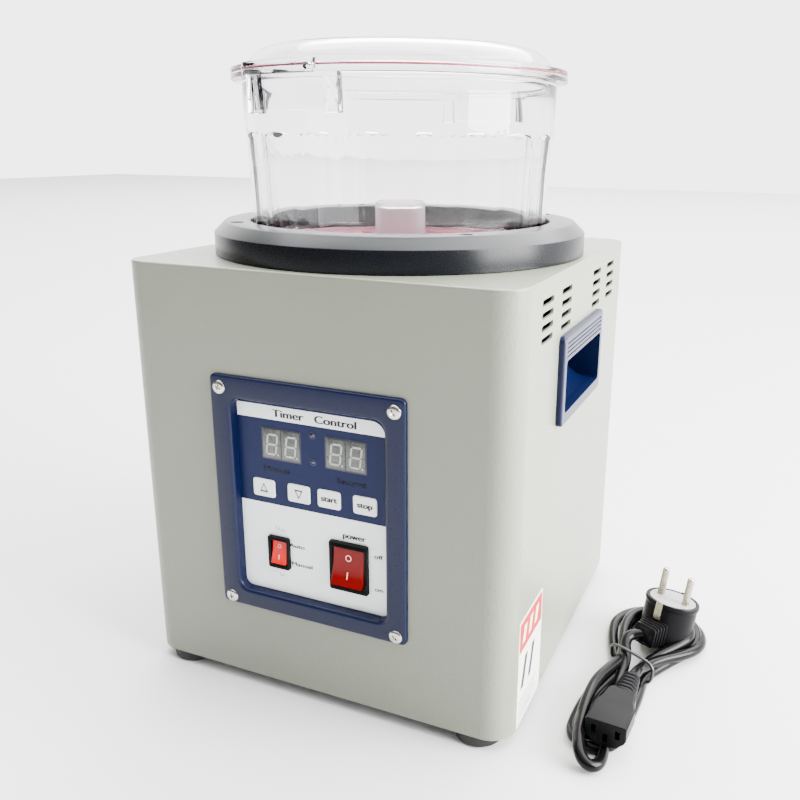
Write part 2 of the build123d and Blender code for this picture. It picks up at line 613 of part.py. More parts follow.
def mains_inlet():
    """Three-pin inlet with a flange, socket pocket and fuse drawer slot."""
    flange = front_sheet(INLET_FLANGE, 3.0, (HALF, INLET_FACE_Y - 1), INLET_X, INLET_Z)
    raised = front_sheet((31.0, 32.0), 2.0, (HALF, INLET_FACE_Y), INLET_X, INLET_Z)
    body = front_sheet((29.4, 30.0), 1.0, (HALF - 22, HALF), INLET_X, INLET_Z)
    inlet = flange + raised + body
    pocket_y = (INLET_FACE_Y - SOCKET_DEPTH, INLET_FACE_Y + 1)
    inlet -= front_sheet(SOCKET_SIZE, 2.5, pocket_y, INLET_X, INLET_Z - SOCKET_DROP)
    slot = (DRAWER_SIZE[0] + 0.4, DRAWER_SIZE[1] + 0.4)
    inlet -= front_sheet(slot, 0.5, (HALF - 20, INLET_FACE_Y + 1), INLET_X, INLET_Z + DRAWER_RISE - 1)
    for side in (-1, 1):
        inlet -= front_rod(1.8, (110, 130), INLET_X + side * 20, INLET_Z)
        inlet -= front_rod(3.4, (INLET_FACE_Y - 2.2, 130), INLET_X + side * 20, INLET_Z)
    for dx, dz in inlet_pin_points():
        inlet -= block((INLET_X + dx - 1.0, INLET_X + dx + 1.0), (90, HALF),
                       (INLET_Z + dz - 2.0, INLET_Z + dz + 2.0))
    return inlet


def inlet_pin_points():
    low = -SOCKET_DROP
    return [(-7.0, low - 2.0), (7.0, low - 2.0), (0.0, low + 2.0)]


def inlet_pins():
    """Three flat blades that stand in the socket and end in rear tabs."""
    pins = []
    for dx, dz in inlet_pin_points():
        pins.append(block((INLET_X + dx - 1.0, INLET_X + dx + 1.0), (HALF - 30, INLET_FACE_Y - 2),
                          (INLET_Z + dz - 2.0, INLET_Z + dz + 2.0)))
    return group(pins)


def inlet_screws():
    """Two screws that hold the inlet to the rear wall."""
    one = Rot(-90, 0, 0) * screw(3.2, 1.8, 1.7, 8.0)
    return group(Pos(INLET_X + side * 20, INLET_FACE_Y - 2.2, INLET_Z) * one for side in (-1, 1))


def fuse_drawer():
    """Pull-out carrier for the fuse, with a finger notch."""
    z = INLET_Z + DRAWER_RISE - 1
    drawer = front_sheet(DRAWER_SIZE, 0.4, (HALF - 19, INLET_FACE_Y - 0.2), INLET_X, z)
    drawer -= block((INLET_X - 8, INLET_X + 8), (HALF - 16, HALF + 1), (z - 2.7, z + 6))
    drawer -= block((INLET_X - 4, INLET_X + 4), (INLET_FACE_Y - 2, 130), (z - 5, z - 2.2))
    return drawer


def fuse():
    """Glass fuse with two metal caps, lying across the drawer's tray."""
    z = INLET_Z + DRAWER_RISE - 1
    return Pos(INLET_X, HALF - 7.5, z + 0.1) * Rot(0, 90, 0) * Cylinder(2.6, 15.6)


# ---------------------------------------------------------------------------- drive

def pillar_points():
    return [(sx * PILLAR_OFFSET, sy * PILLAR_OFFSET) for sx in (-1, 1) for sy in (-1, 1)]


def motor_pillars():
    """Four spacers from the base plate up to the motor plate."""
    return group(rod(PILLAR_RADIUS, (BASE_PLATE_Z[1], MOTOR_PLATE_Z[0]), x, y) for x, y in pillar_points())


def motor_plate():
    """Plate that the motor hangs from."""
    side = 2 * MOTOR_PLATE_HALF
    plate = Pos(0, 0, MOTOR_PLATE_Z[0]) * extrude(RectangleRounded(side, side, 8), MOTOR_PLATE_Z[1] - MOTOR_PLATE_Z[0])
    plate -= rod(16, (160, 175))
    for x, y in pillar_points():
        plate -= rod(2.6, (160, 175), x, y)
    for x, y in motor_bolt_points():
        plate -= rod(2.6, (160, 175), x, y)
    return plate


def motor_bolt_points():
    return [(38 * math.cos(math.radians(a)), 38 * math.sin(math.radians(a))) for a in (45, 135, 225, 315)]


def plate_screws():
    """Screws that hold the motor plate to its pillars and the motor to the plate."""
    pillar_bolt = Pos(0, 0, MOTOR_PLATE_Z[1]) * screw(4.5, 3.0, 2.5, MOTOR_PLATE_Z[1] - MOTOR_PLATE_Z[0])
    points = pillar_points() + motor_bolt_points()
    return group(Pos(x, y, 0) * pillar_bolt for x, y in points)


def motor_upper_bell():
    """Upper end cap, bolted under the motor plate."""
    cap = rod(MOTOR_RADIUS, (157, MOTOR_PLATE_Z[0])) + rod(15.8, (160, 169))
    return cap - rod(13.0, (156, 167)) - rod(8, (150, 180))


def motor_lower_bell():
    """Lower end cap with its bearing seat."""
    cap = rod(MOTOR_RADIUS, (78, 86)) + rod(17, (74, 86))
    return cap - rod(13.0, (77, 90)) - rod(8, (70, 90))


def motor_sleeve():
    """Outer sleeve of the motor with cooling windows."""
    sleeve = tube(MOTOR_RADIUS, MOTOR_RADIUS - 2.5, (86, 157))
    for angle in range(0, 360, 45):
        window = Pos(MOTOR_RADIUS, 0, 152) * Box(12, 16, 6) + Pos(MOTOR_RADIUS, 0, 91) * Box(12, 16, 6)
        sleeve -= Rot(0, 0, angle + 22.5) * window
    return sleeve


def motor_stator():
    """Laminated stator ring with slots."""
    ring = tube(MOTOR_RADIUS - 2.5, ROTOR_RADIUS + 0.5, STATOR_Z)
    for angle in range(0, 360, 30):
        ring -= Rot(0, 0, angle) * (Pos(36, 0, (STATOR_Z[0] + STATOR_Z[1]) / 2) * Box(12, 6, 60))
    return ring


def stator_windings():
    """Copper end turns above and below the stator."""
    lower = tube(43, 30, (STATOR_Z[0] - 8, STATOR_Z[0]))
    upper = tube(43, 30, (STATOR_Z[1], STATOR_Z[1] + 8))
    return group((lower, upper))


def motor_bearings():
    """Two ball bearings, drawn as plain rings."""
    inner = SHAFT_RADIUS + SHAFT_CLEARANCE
    return group((tube(13.0, inner, (77.0, 85.0)), tube(13.0, inner, (158.5, 166.5))))


def motor_shaft():
    """Ground shaft from the fan to the magnet disc."""
    return chamfer(rod(SHAFT_RADIUS, SHAFT_Z).edges(), 0.6)


def rotor_core():
    """Squirrel-cage rotor on the shaft."""
    return tube(ROTOR_RADIUS, SHAFT_RADIUS, STATOR_Z)


def motor_fan():
    """Cooling fan under the motor: a hub, a disc and eight blades."""
    fan = tube(9, SHAFT_RADIUS, (61, 72)) + tube(24, SHAFT_RADIUS, (70.4, 72))
    for angle in range(0, 360, 45):
        fan += Rot(0, 0, angle) * (Pos(25, 0, 67) * Rot(35, 0, 0) * Box(34, 1.6, 9))
    return fan


def magnet_disc():
    """Aluminium disc that carries the magnets, spun by the shaft."""
    return tube(DISC_RADIUS, SHAFT_RADIUS, DISC_Z)


def disc_magnets():
    """Block magnets set round the disc."""
    magnets = []
    for index in range(MAGNET_COUNT):
        magnet = Pos(MAGNET_CIRCLE, 0, DISC_Z[1] + MAGNET_SIZE[2] / 2) * Box(*MAGNET_SIZE)
        magnets.append(Rot(0, 0, index * 360 / MAGNET_COUNT) * magnet)
    return group(magnets)


def disc_hub():
    """Clamping hub under the disc."""
    return tube(15, SHAFT_RADIUS, (229, 241)) + tube(24, SHAFT_RADIUS, (241, DISC_Z[0]))


def motor_capacitor():
    """Run capacitor standing on the base plate."""
    can = rod(17.5, (BASE_PLATE_Z[1], 71), -70, 55)
    return can + rod(3, (71, 76), -76, 55) + rod(3, (71, 76), -64, 55)


def transformer():
    """Small transformer that feeds the control board."""
    core = block((44, 84), (-72, -40), (BASE_PLATE_Z[1], 46))
    coil = block((50, 78), (-80, -32), (18, 39))
    return core + coil


# ---------------------------------------------------------------------------- mains lead

def plug_place():
    """Where the plug stands: pins up, leaning to the side and to the rear."""
    stand = Pos(PLUG_CENTRE[0], PLUG_CENTRE[1], PLUG_LIFT) * Rot(-PLUG_LEAN_BACK, 0, 0)
    return stand * Rot(0, 0, PLUG_TURN) * Rot(0, PLUG_LEAN, 0)


def plug_body():
    """Angled mains plug: round body with flats for the earth clips and a ribbed boot."""
    body = Cylinder(PLUG_RADIUS, PLUG_HEIGHT, align=(Align.CENTER, Align.CENTER, Align.MIN))
    body = fillet(body.edges().group_by(Axis.Z)[0], 5)
    body = chamfer(body.edges().group_by(Axis.Z)[-1], 1.2)
    for side in (-1, 1):
        body -= Pos(0, side * (PLUG_RADIUS + 4.2), PLUG_HEIGHT - 3) * Box(5.4, 10, 18)
    for side in (-1, 1):
        body -= Pos(side * PIN_SPACING / 2, 0, PLUG_HEIGHT - 4) * Cylinder(PIN_RADIUS, 9)
    neck_z = 10.5
    boot = Pos(0, -PLUG_RADIUS - 5.0, neck_z) * Rot(90, 0, 0) * Cone(8.5, 6.2, 18)
    for rib in range(3):
        groove = Pos(0, -PLUG_RADIUS - 4.0 - rib * 3.2, neck_z) * Rot(90, 0, 0)
        boot -= groove * (Cylinder(9.5, 1.1) - Cylinder(6.3, 1.1))
    return plug_place() * (body + boot)


def plug_pins():
    """Two round pins."""
    pins = []
    for side in (-1, 1):
        pin = Pos(side * PIN_SPACING / 2, 0, PLUG_HEIGHT - 8.4) * Cylinder(
            PIN_RADIUS, PIN_LENGTH + 8.4, align=(Align.CENTER, Align.CENTER, Align.MIN))
        pins.append(plug_place() * fillet(pin.edges().group_by(Axis.Z)[-1], 1.6))
    return group(pins)


def plug_earth_clips():
    """Two spring strips in the plug's side grooves."""
    clips = []
    for side in (-1, 1):
        strip = Pos(0, side * (PLUG_RADIUS - 0.2), PLUG_HEIGHT - 5.4) * Box(5.0, 1.0, 12)
        clips.append(plug_place() * strip)
    return group(clips)


def connector_place():
    """Connector frame: +Y of this frame runs from the face back towards the boot."""
    return Pos(CONNECTOR_FACE[0], CONNECTOR_FACE[1], CONNECTOR_BOTTOM + CONNECTOR_SIZE[1] / 2) * Rot(
        0, 0, CONNECTOR_TURN)


def connector_slot_points():
    return [(-7.0, 2.0), (7.0, 2.0), (0.0, -2.0)]


def connector_body():
    """Appliance connector: six-sided nose, grip and ribbed boot."""
    width, height = CONNECTOR_SIZE
    half_w, half_h = width / 2, height / 2
    nose_outline = Polyline((-half_w, half_h), (half_w, half_h), (half_w, -1.6), (half_w - 6, -half_h),
                            (-half_w + 6, -half_h), (-half_w, -1.6), (-half_w, half_h))
    nose = Pos(0, 32, 0) * Rot(90, 0, 0) * extrude(make_face(nose_outline), 32)
    grip = Pos(0, 36, 0) * Rot(90, 0, 0) * extrude(RectangleRounded(20, 14.6, 3), 14, taper=-3)
    boot = Pos(0, 47.5, 0) * Rot(90, 0, 0) * Cone(5.2, 6.9, 25)
    for rib in range(4):
        groove = Pos(0, 42 + rib * 4, 0) * Rot(90, 0, 0)
        boot -= groove * (Cylinder(8, 1.3) - Cylinder(5.1, 1.3))
    body = nose + grip + boot
    for x, z in connector_slot_points():
        body -= Pos(x, 8, z) * Box(2.6, 20, 5.0)
    return connector_place() * body


def connector_contacts():
    """Three spring contacts deep in the connector's slots."""
    contacts = [connector_place() * (Pos(x, 12.5, z) * Box(2.4, 10.8, 4.8)) for x, z in connector_slot_points()]
    return group(contacts)


def cord_hank():
    """Outer shape of the tied hank: a fan of loops behind, a waist, and long folds in front."""
    tie_x, tie_y = TIE_CENTRE
    with BuildSketch() as outline:
        with BuildLine():
            Spline((164, -14), (150, 8), (146, 34), (160, 60), (188, 66), (214, 58),
                   (222, 38), (210, 6), (190, -26), tangents=[(-1, 1), (-0.5, -1)])
            Spline((190, -26), (186, -60), (188, -100), (178, -119), (164, -112), (150, -96),
                   (145, -72), (152, -40), (164, -14), tangents=[(-0.5, -1), (0.7, 1)])
        make_face()
    upper_hole = Pos(PLUG_CENTRE[0] - 1, PLUG_CENTRE[1] + 2) * Circle(25.5)
    low = extrude(outline.sketch - upper_hole, 8.0)
    waist = Pos(tie_x, tie_y, 7.9) * Rot(0, 0, TIE_TURN) * extrude(RectangleRounded(32, 20, 6), 8.6)
    hank = Pos(0, 0, HANK_UNDERSIDE) * (low + waist)
    groove = Box(70, TIE_WIDTH, 60) - tie_section(TIE_INSIDE, 5, 10)
    return hank - tie_place() * groove


def tie_place():
    """Middle of the tie: its own x runs across the bundle."""
    return Pos(TIE_CENTRE[0], TIE_CENTRE[1], TIE_MIDDLE_Z) * Rot(0, 0, TIE_TURN)


def tie_section(size, radius, width):
    """The tie's outline across the bundle, as a solid of a given width along it."""
    return Rot(90, 0, 0) * extrude(RectangleRounded(size[0], size[1], radius), width / 2, both=True)


def cord_tie():
    """Wire tie round the hank's waist."""
    outer_size = (TIE_INSIDE[0] + 2 * TIE_THICKNESS, TIE_INSIDE[1] + 2 * TIE_THICKNESS)
    outer = tie_section(outer_size, 6, TIE_WIDTH)
    return tie_place() * (outer - tie_section(TIE_INSIDE, 5, TIE_WIDTH + 2))


# ---------------------------------------------------------------------------- output

def all_nodes():
    """Every node of the model by name."""
    nodes = {
        "housing_shell": housing_shell(),
        "base_plate": base_plate(),
        "base_screws": base_screws(),
        "feet": feet(),
        "foot_screws": foot_screws(),
        "collar_ring": collar_ring(),
        "collar_screws": collar_screws(),
        "bowl_pad": bowl_pad(),
        "bowl": bowl(),
        "lid": lid(),
        "lid_gasket": lid_gasket(),
        "bezel_frame": bezel_frame(),
        "bezel_screws": bezel_screws(),
        "panel_plate": panel_plate(),
        "panel_overlay": panel_overlay(),
        "time_displays": time_displays(),
        "indicator_leds": indicator_leds(),
        "control_board": control_board(),
        "board_posts": board_posts(),
        "key_switches": key_switches(),
        "right_cup_handle": cup_handle(1),
        "left_cup_handle": cup_handle(-1),
        "side_label": side_label(),
        "mains_inlet": mains_inlet(),
        "inlet_pins": inlet_pins(),
        "inlet_screws": inlet_screws(),
        "fuse_drawer": fuse_drawer(),
        "fuse": fuse(),
        "motor_pillars": motor_pillars(),
        "motor_plate": motor_plate(),
        "plate_screws": plate_screws(),
        "motor_upper_bell": motor_upper_bell(),
        "motor_lower_bell": motor_lower_bell(),
        "motor_sleeve": motor_sleeve(),
        "motor_stator": motor_stator(),
        "stator_windings": stator_windings(),
        "motor_bearings": motor_bearings(),
        "motor_shaft": motor_shaft(),
        "rotor_core": rotor_core(),
        "motor_fan": motor_fan(),
        "magnet_disc": magnet_disc(),
        "disc_magnets": disc_magnets(),
        "disc_hub": disc_hub(),
        "motor_capacitor": motor_capacitor(),
        "transformer": transformer(),
        "plug_body": plug_body(),
        "plug_pins": plug_pins(),
        "plug_earth_clips": plug_earth_clips(),
        "connector_body": connector_body(),
        "connector_contacts": connector_contacts(),
        "cord_hank": cord_hank(),
        "cord_tie": cord_tie(),
    }
    for name, (x, z) in KEYS.items():
        nodes[name] = key_cap(x, z)
    for name in ROCKERS:
        nodes[f"{name}_switch_body"] = rocker_body(name)
        nodes[f"{name}_rocker"] = rocker_cap(name)
    return nodes


def main():
    os.makedirs("parts", exist_ok=True)
    for name, shape in all_nodes().items():
        export_step(shape, f"parts/{name}.step")


main()
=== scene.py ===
import json
import math
import bpy
import bmesh
from mathutils import Matrix, Vector


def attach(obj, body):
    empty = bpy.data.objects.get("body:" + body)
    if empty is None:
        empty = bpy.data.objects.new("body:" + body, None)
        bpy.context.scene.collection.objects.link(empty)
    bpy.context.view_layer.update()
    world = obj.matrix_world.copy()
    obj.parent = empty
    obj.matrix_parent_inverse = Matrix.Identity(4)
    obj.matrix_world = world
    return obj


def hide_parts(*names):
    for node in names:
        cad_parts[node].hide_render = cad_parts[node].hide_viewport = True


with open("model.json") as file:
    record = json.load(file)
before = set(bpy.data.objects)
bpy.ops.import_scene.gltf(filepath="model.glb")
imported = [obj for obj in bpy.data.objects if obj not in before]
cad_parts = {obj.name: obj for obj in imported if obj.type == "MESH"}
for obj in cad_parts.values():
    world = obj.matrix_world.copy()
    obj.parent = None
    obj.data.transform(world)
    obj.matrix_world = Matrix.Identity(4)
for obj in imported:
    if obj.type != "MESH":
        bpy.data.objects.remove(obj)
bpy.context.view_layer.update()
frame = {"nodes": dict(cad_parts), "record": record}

MM = 0.001
scene = bpy.context.scene


# ------------------------------------------------------------------ camera

def make_camera():
    right = Vector((0.91932893, 0.39339184, 0.00878537))
    up = Vector((-0.1165129, 0.25082111, 0.9609961))
    forward = Vector((-0.37584447, 0.88449513, -0.27642233))
    data = bpy.data.cameras.new("camera")
    data.sensor_width = 36.0
    data.lens = 37.347
    data.shift_x = -0.05
    data.shift_y = -0.025
    data.clip_start = 0.02
    data.clip_end = 20.0
    camera = bpy.data.objects.new("camera", data)
    turn = Matrix((right, up, -forward)).transposed().to_4x4()
    camera.matrix_world = Matrix.Translation((0.242561, -0.502812, 0.336946)) @ turn
    scene.collection.objects.link(camera)
    scene.camera = camera


make_camera()


# ------------------------------------------------------------------ materials

def nodes_of(name):
    material = bpy.data.materials.new(name)
    material.use_nodes = True
    tree = material.node_tree
    return material, tree, tree.nodes["Principled BSDF"]


def noise(tree, scale, detail=4.0, roughness=0.55, stretch=(1, 1, 1)):
    """Noise over the object's own coordinates; scale is in features per metre."""
    place = tree.nodes.new("ShaderNodeTexCoord")
    mapping = tree.nodes.new("ShaderNodeMapping")
    mapping.inputs["Scale"].default_value = stretch
    texture = tree.nodes.new("ShaderNodeTexNoise")
    texture.inputs["Scale"].default_value = scale
    texture.inputs["Detail"].default_value = detail
    texture.inputs["Roughness"].default_value = roughness
    tree.links.new(place.outputs["Object"], mapping.inputs["Vector"])
    tree.links.new(mapping.outputs["Vector"], texture.inputs["Vector"])
    return texture.outputs["Fac"]


def spread(tree, source, low, high, start=0.3, end=0.7):
    """A noise value carried to a range of numbers."""
    ramp = tree.nodes.new("ShaderNodeMapRange")
    ramp.inputs["From Min"].default_value = start
    ramp.inputs["From Max"].default_value = end
    ramp.inputs["To Min"].default_value = low
    ramp.inputs["To Max"].default_value = high
    tree.links.new(source, ramp.inputs["Value"])
    return ramp.outputs["Result"]


def tint(tree, source, dark, light, start=0.3, end=0.7):
    """A noise value carried to a colour between two."""
    ramp = tree.nodes.new("ShaderNodeValToRGB")
    ramp.color_ramp.elements[0].position = start
    ramp.color_ramp.elements[1].position = end
    ramp.color_ramp.elements[0].color = (*dark, 1)
    ramp.color_ramp.elements[1].color = (*light, 1)
    tree.links.new(source, ramp.inputs["Fac"])
    return ramp.outputs["Color"]


def bump(tree, shader, source, distance, strength=1.0, after=None):
    node = tree.nodes.new("ShaderNodeBump")
    node.inputs["Distance"].default_value = distance
    node.inputs["Strength"].default_value = strength
    tree.links.new(source, node.inputs["Height"])
    if after is not None:
        tree.links.new(after, node.inputs["Normal"])
    tree.links.new(node.outputs["Normal"], shader.inputs["Normal"])
    return node.outputs["Normal"]


def rgb(r, g, b):
    """Display colour, 0 to 255, as linear light."""
    return tuple((c / 255) ** 2.2 for c in (r, g, b))


def shade(colour, factor):
    return tuple(min(1.0, c * factor) for c in colour)


def plain(name, colour, roughness, metal=0.0, vary=0.10, grain=900.0, depth=0.00003,
          coat=0.0, rough_vary=0.08, stretch=(1, 1, 1), specular=0.5):
    """A surface with fine grain, soft colour variation and uneven gloss."""
    material, tree, shader = nodes_of(name)
    shader.inputs["Metallic"].default_value = metal
    shader.inputs["Coat Weight"].default_value = coat
    shader.inputs["Coat Roughness"].default_value = 0.08
    shader.inputs["Specular IOR Level"].default_value = specular
    broad = noise(tree, 24.0, 5.0)
    fine = noise(tree, grain, 3.0, 0.6, stretch)
    tree.links.new(tint(tree, broad, shade(colour, 1 - vary), shade(colour, 1 + vary)),
                   shader.inputs["Base Color"])
    tree.links.new(spread(tree, fine, max(0.02, roughness - rough_vary), roughness + rough_vary),
                   shader.inputs["Roughness"])
    bump(tree, shader, fine, depth)
    return material


def hammered_paint():
    """Grey-green enamel with a fine dimpled skin."""
    material, tree, shader = nodes_of("housing_paint")
    colour = (0.150, 0.163, 0.122)
    broad = noise(tree, 9.0, 4.0)
    dimple = noise(tree, 520.0, 2.0, 0.45)
    speck = noise(tree, 1900.0, 2.0, 0.5)
    tree.links.new(tint(tree, broad, shade(colour, 0.95), shade(colour, 1.04)), shader.inputs["Base Color"])
    tree.links.new(spread(tree, dimple, 0.30, 0.46), shader.inputs["Roughness"])
    shader.inputs["Specular IOR Level"].default_value = 0.45
    shader.inputs["Coat Weight"].default_value = 0.15
    shader.inputs["Coat Roughness"].default_value = 0.2
    first = bump(tree, shader, dimple, 0.00024, 0.9)
    bump(tree, shader, speck, 0.00003, 0.5, first)
    return material


def clear_plastic(name, roughness, colour=(0.972, 0.968, 0.985), index=1.36):
    material, tree, shader = nodes_of(name)
    shader.inputs["Transmission Weight"].default_value = 1.0
    shader.inputs["IOR"].default_value = index
    shader.inputs["Base Color"].default_value = (*colour, 1)
    streak = noise(tree, 60.0, 4.0, 0.5, (1, 1, 0.3))
    tree.links.new(spread(tree, streak, roughness, roughness + 0.03), shader.inputs["Roughness"])
    bump(tree, shader, streak, 0.00004, 0.3)
    return material


def display_glass():
    material, tree, shader = nodes_of("display_window")
    ground = noise(tree, 300.0, 3.0)
    tree.links.new(tint(tree, ground, rgb(52, 55, 52), rgb(66, 69, 65)), shader.inputs["Base Color"])
    tree.links.new(spread(tree, ground, 0.22, 0.34), shader.inputs["Roughness"])
    shader.inputs["Coat Weight"].default_value = 0.4
    return material


def ground_steel():
    """Turned or ground steel: fine rings along its length."""
    return plain("steel_shaft", (0.52, 0.52, 0.53), 0.28, 1.0, 0.08, 700.0, 0.00001, 0, 0.1, (1, 1, 12))


def copper():
    return plain("copper_winding", (0.52, 0.20, 0.08), 0.35, 0.8, 0.2, 260.0, 0.0004, 0, 0.1, (1, 1, 16))


MATERIALS = {
    "housing_paint": hammered_paint(),
    "zinc_sheet": plain("zinc_sheet", (0.52, 0.53, 0.53), 0.38, 0.9, 0.12, 420.0),
    "black_rubber": plain("black_rubber", (0.008, 0.008, 0.008), 0.6, 0, 0.2, 1500.0, 0.00005, specular=0.3),
    "black_anodised": plain("black_anodised", (0.0025, 0.003, 0.004), 0.27, 0, 0.1, 1400.0, 0.000004, 0, 0.03,
                            specular=0.14),
    "screw_steel": plain("screw_steel", (0.5, 0.49, 0.46), 0.2, 1.0, 0.1, 900.0, 0.00001),
    "black_screw": plain("black_screw", (0.03, 0.03, 0.03), 0.35, 0.8, 0.2, 900.0, 0.00002),
    "pad_red": plain("pad_red", (0.72, 0.22, 0.29), 0.5, 0, 0.06, 600.0, 0.00002),
    "clear_plastic": clear_plastic("clear_plastic", 0.015),
    "gasket_red": plain("gasket_red", rgb(132, 34, 56), 0.45, 0, 0.1, 900.0),
    "frame_blue": plain("frame_blue", (0.001, 0.0032, 0.022), 0.3, 0, 0.06, 900.0, 0.000003, 0, 0.03,
                        specular=0.2),
    "overlay_film": plain("overlay_film", rgb(228, 231, 233), 0.36, 0, 0.02, 2200.0, 0.00001),
    "display_window": display_glass(),
    "led_lens": plain("led_lens", rgb(24, 38, 74), 0.2, 0, 0.1, 900.0, 0.00001, 0.5),
    "board_green": plain("board_green", (0.02, 0.12, 0.05), 0.35, 0, 0.25, 500.0, 0.00005, 0.3),
    "key_white": plain("key_white", rgb(226, 228, 229), 0.34, 0, 0.02, 1800.0, 0.00001, 0.1),
    "black_plastic": plain("black_plastic", (0.003, 0.003, 0.0035), 0.34, 0, 0.2, 1600.0, 0.00002,
                           specular=0.06),
    "rocker_red": plain("rocker_red", (0.13, 0.0005, 0.0005), 0.16, 0, 0.12, 500.0, 0.000004, 0, 0.04,
                        specular=0.16),
    "label_film": plain("label_film", rgb(222, 222, 216), 0.3, 0, 0.03, 1500.0, 0.00001, 0.2),
    "brass_blade": plain("brass_blade", (0.55, 0.42, 0.18), 0.3, 1.0, 0.1, 900.0, 0.00001),
    "nickel_pin": plain("nickel_pin", (0.36, 0.32, 0.26), 0.27, 1.0, 0.12, 700.0, 0.00002),
    "fuse_glass": plain("fuse_glass", (0.75, 0.78, 0.78), 0.15, 0, 0.05, 400.0, 0.00001, 0.5),
    "motor_aluminium": plain("motor_aluminium", (0.60, 0.60, 0.61), 0.42, 0.9, 0.1, 500.0, 0.00006),
    "lamination": plain("lamination", (0.26, 0.26, 0.28), 0.4, 0.8, 0.15, 300.0, 0.0002, 0, 0.1,
                        (0.1, 0.1, 6)),
    "copper_winding": copper(),
    "steel_shaft": ground_steel(),
    "magnet_nickel": plain("magnet_nickel", (0.62, 0.62, 0.63), 0.22, 1.0, 0.08, 700.0, 0.00001),
    "fan_plastic": plain("fan_plastic", (0.2, 0.2, 0.21), 0.45, 0, 0.1, 1100.0),
    "capacitor_can": plain("capacitor_can", (0.62, 0.62, 0.6), 0.35, 0, 0.05, 900.0),
    "cord_black": plain("cord_black", (0.0018, 0.0018, 0.002), 0.2, 0, 0.2, 700.0, 0.00001, 0, 0.04,
                        specular=0.11),
    "tie_black": plain("tie_black", (0.006, 0.006, 0.006), 0.35, 0, 0.2, 1300.0, 0.00003),
}
PRINT_BLUE = plain("print_blue", (0.0018, 0.006, 0.038), 0.36, 0, 0.04, 1500.0, 0.000002, 0, 0.03,
                   specular=0.14)
PRINT_BLACK = plain("print_black", (0.012, 0.012, 0.014), 0.5, 0, 0.1, 2000.0, 0.00001)
PRINT_DARK_BLUE = plain("print_dark_blue", (0.002, 0.004, 0.02), 0.4, 0, 0.1, 2000.0, 0.00001)
PRINT_RED = plain("print_red", (0.34, 0.02, 0.012), 0.4, 0, 0.05, 2000.0, 0.000006, 0, 0.03, specular=0.15)
PRINT_GREY = plain("print_grey", rgb(120, 122, 122), 0.45, 0, 0.05, 2000.0, 0.00001)
SEGMENT_GREY = plain("segment_grey", rgb(150, 154, 146), 0.3, 0, 0.04, 1500.0, 0.00001)
MARK_PINK = plain("mark_pink", rgb(238, 170, 160), 0.35, 0, 0.04, 1500.0, 0.00001)
ROCKER_RED_BRIGHT = plain("rocker_red_bright", (0.6, 0.004, 0.003), 0.16, 0, 0.1, 500.0, 0.000004, 0, 0.04,
                          specular=0.2)
# Lighter, glossier copy of the collar's black for its upward faces: a painted sheen that stands in for
# overhead light on the top and chamfer.
COLLAR_TOP_PAINTED_SHEEN = plain("collar_top_painted_sheen", (0.01, 0.011, 0.013), 0.3, 0, 0.12, 1400.0, 0.000004, 0, 0.03, specular=0.3)
# Frosted clear plastic for the hub, tinted pink: painted light from the red pad below, which the clear hub
# only shows through it.
HUB_FROSTED_PAINTED_PAD_LIGHT = clear_plastic("hub_frosted_painted_pad_light", 0.34, (0.985, 0.93, 0.945), 1.3)


# ------------------------------------------------------------------ mesh helpers

def add_piece(name, mesh, material, body, angle=38.0):
    """Puts a mesh in the scene as a piece that rides on a body."""
    piece = bpy.data.objects.new(name, mesh)
    scene.collection.objects.link(piece)
    mesh.materials.clear()
    mesh.materials.append(material)
    mesh.shade_smooth()
    mesh.set_sharp_from_angle(angle=math.radians(angle))
    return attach(piece, body)


def mesh_from(name, work):
    """Closes a bmesh into a mesh in metres, its faces turned outward."""
    bmesh.ops.remove_doubles(work, verts=work.verts, dist=1e-4)
    bmesh.ops.recalc_face_normals(work, faces=work.faces)
    bmesh.ops.scale(work, vec=(MM, MM, MM), verts=work.verts)
    mesh = bpy.data.meshes.new(name)
    work.to_mesh(mesh)
    work.free()
    return mesh


def loft(work, rings, closed=False, capped=True, matrix=None):
    """Skins a list of rings, each a list of points with the same count."""
    made = []
    for ring in rings:
        points = [Vector(p) for p in ring]
        if matrix is not None:
            points = [matrix @ p for p in points]
        made.append([work.verts.new(p) for p in points])
    count = len(made[0])
    pairs = list(zip(made, made[1:]))
    if closed:
        pairs.append((made[-1], made[0]))
    for first, second in pairs:
        for i in range(count):
            j = (i + 1) % count
            work.faces.new((first[i], first[j], second[j], second[i]))
    if capped and not closed:
        work.faces.new(list(reversed(made[0])))
        work.faces.new(made[-1])
    return made


def turn(work, profile, steps=160, radius_at=None):
    """Turns a profile of (radius, height) about Z; radius 0 closes it at a pole."""
    columns = []
    for radius, height in profile:
        if radius < 1e-6:
            columns.append([work.verts.new((0, 0, height))])
            continue
        ring = []
        for i in range(steps):
            angle = 2 * math.pi * i / steps
            reach = radius if radius_at is None else radius_at(radius, height, angle)
            ring.append(work.verts.new((reach * math.cos(angle), reach * math.sin(angle), height)))
        columns.append(ring)
    loop = len(columns[0]) > 1 and len(columns[-1]) > 1
    pairs = list(zip(columns, columns[1:])) + ([(columns[-1], columns[0])] if loop else [])
    for first, second in pairs:
        for i in range(steps):
            j = (i + 1) % steps
            if len(first) == 1:
                work.faces.new((first[0], second[j], second[i]))
            elif len(second) == 1:
                work.faces.new((first[i], first[j], second[0]))
            else:
                work.faces.new((first[i], first[j], second[j], second[i]))


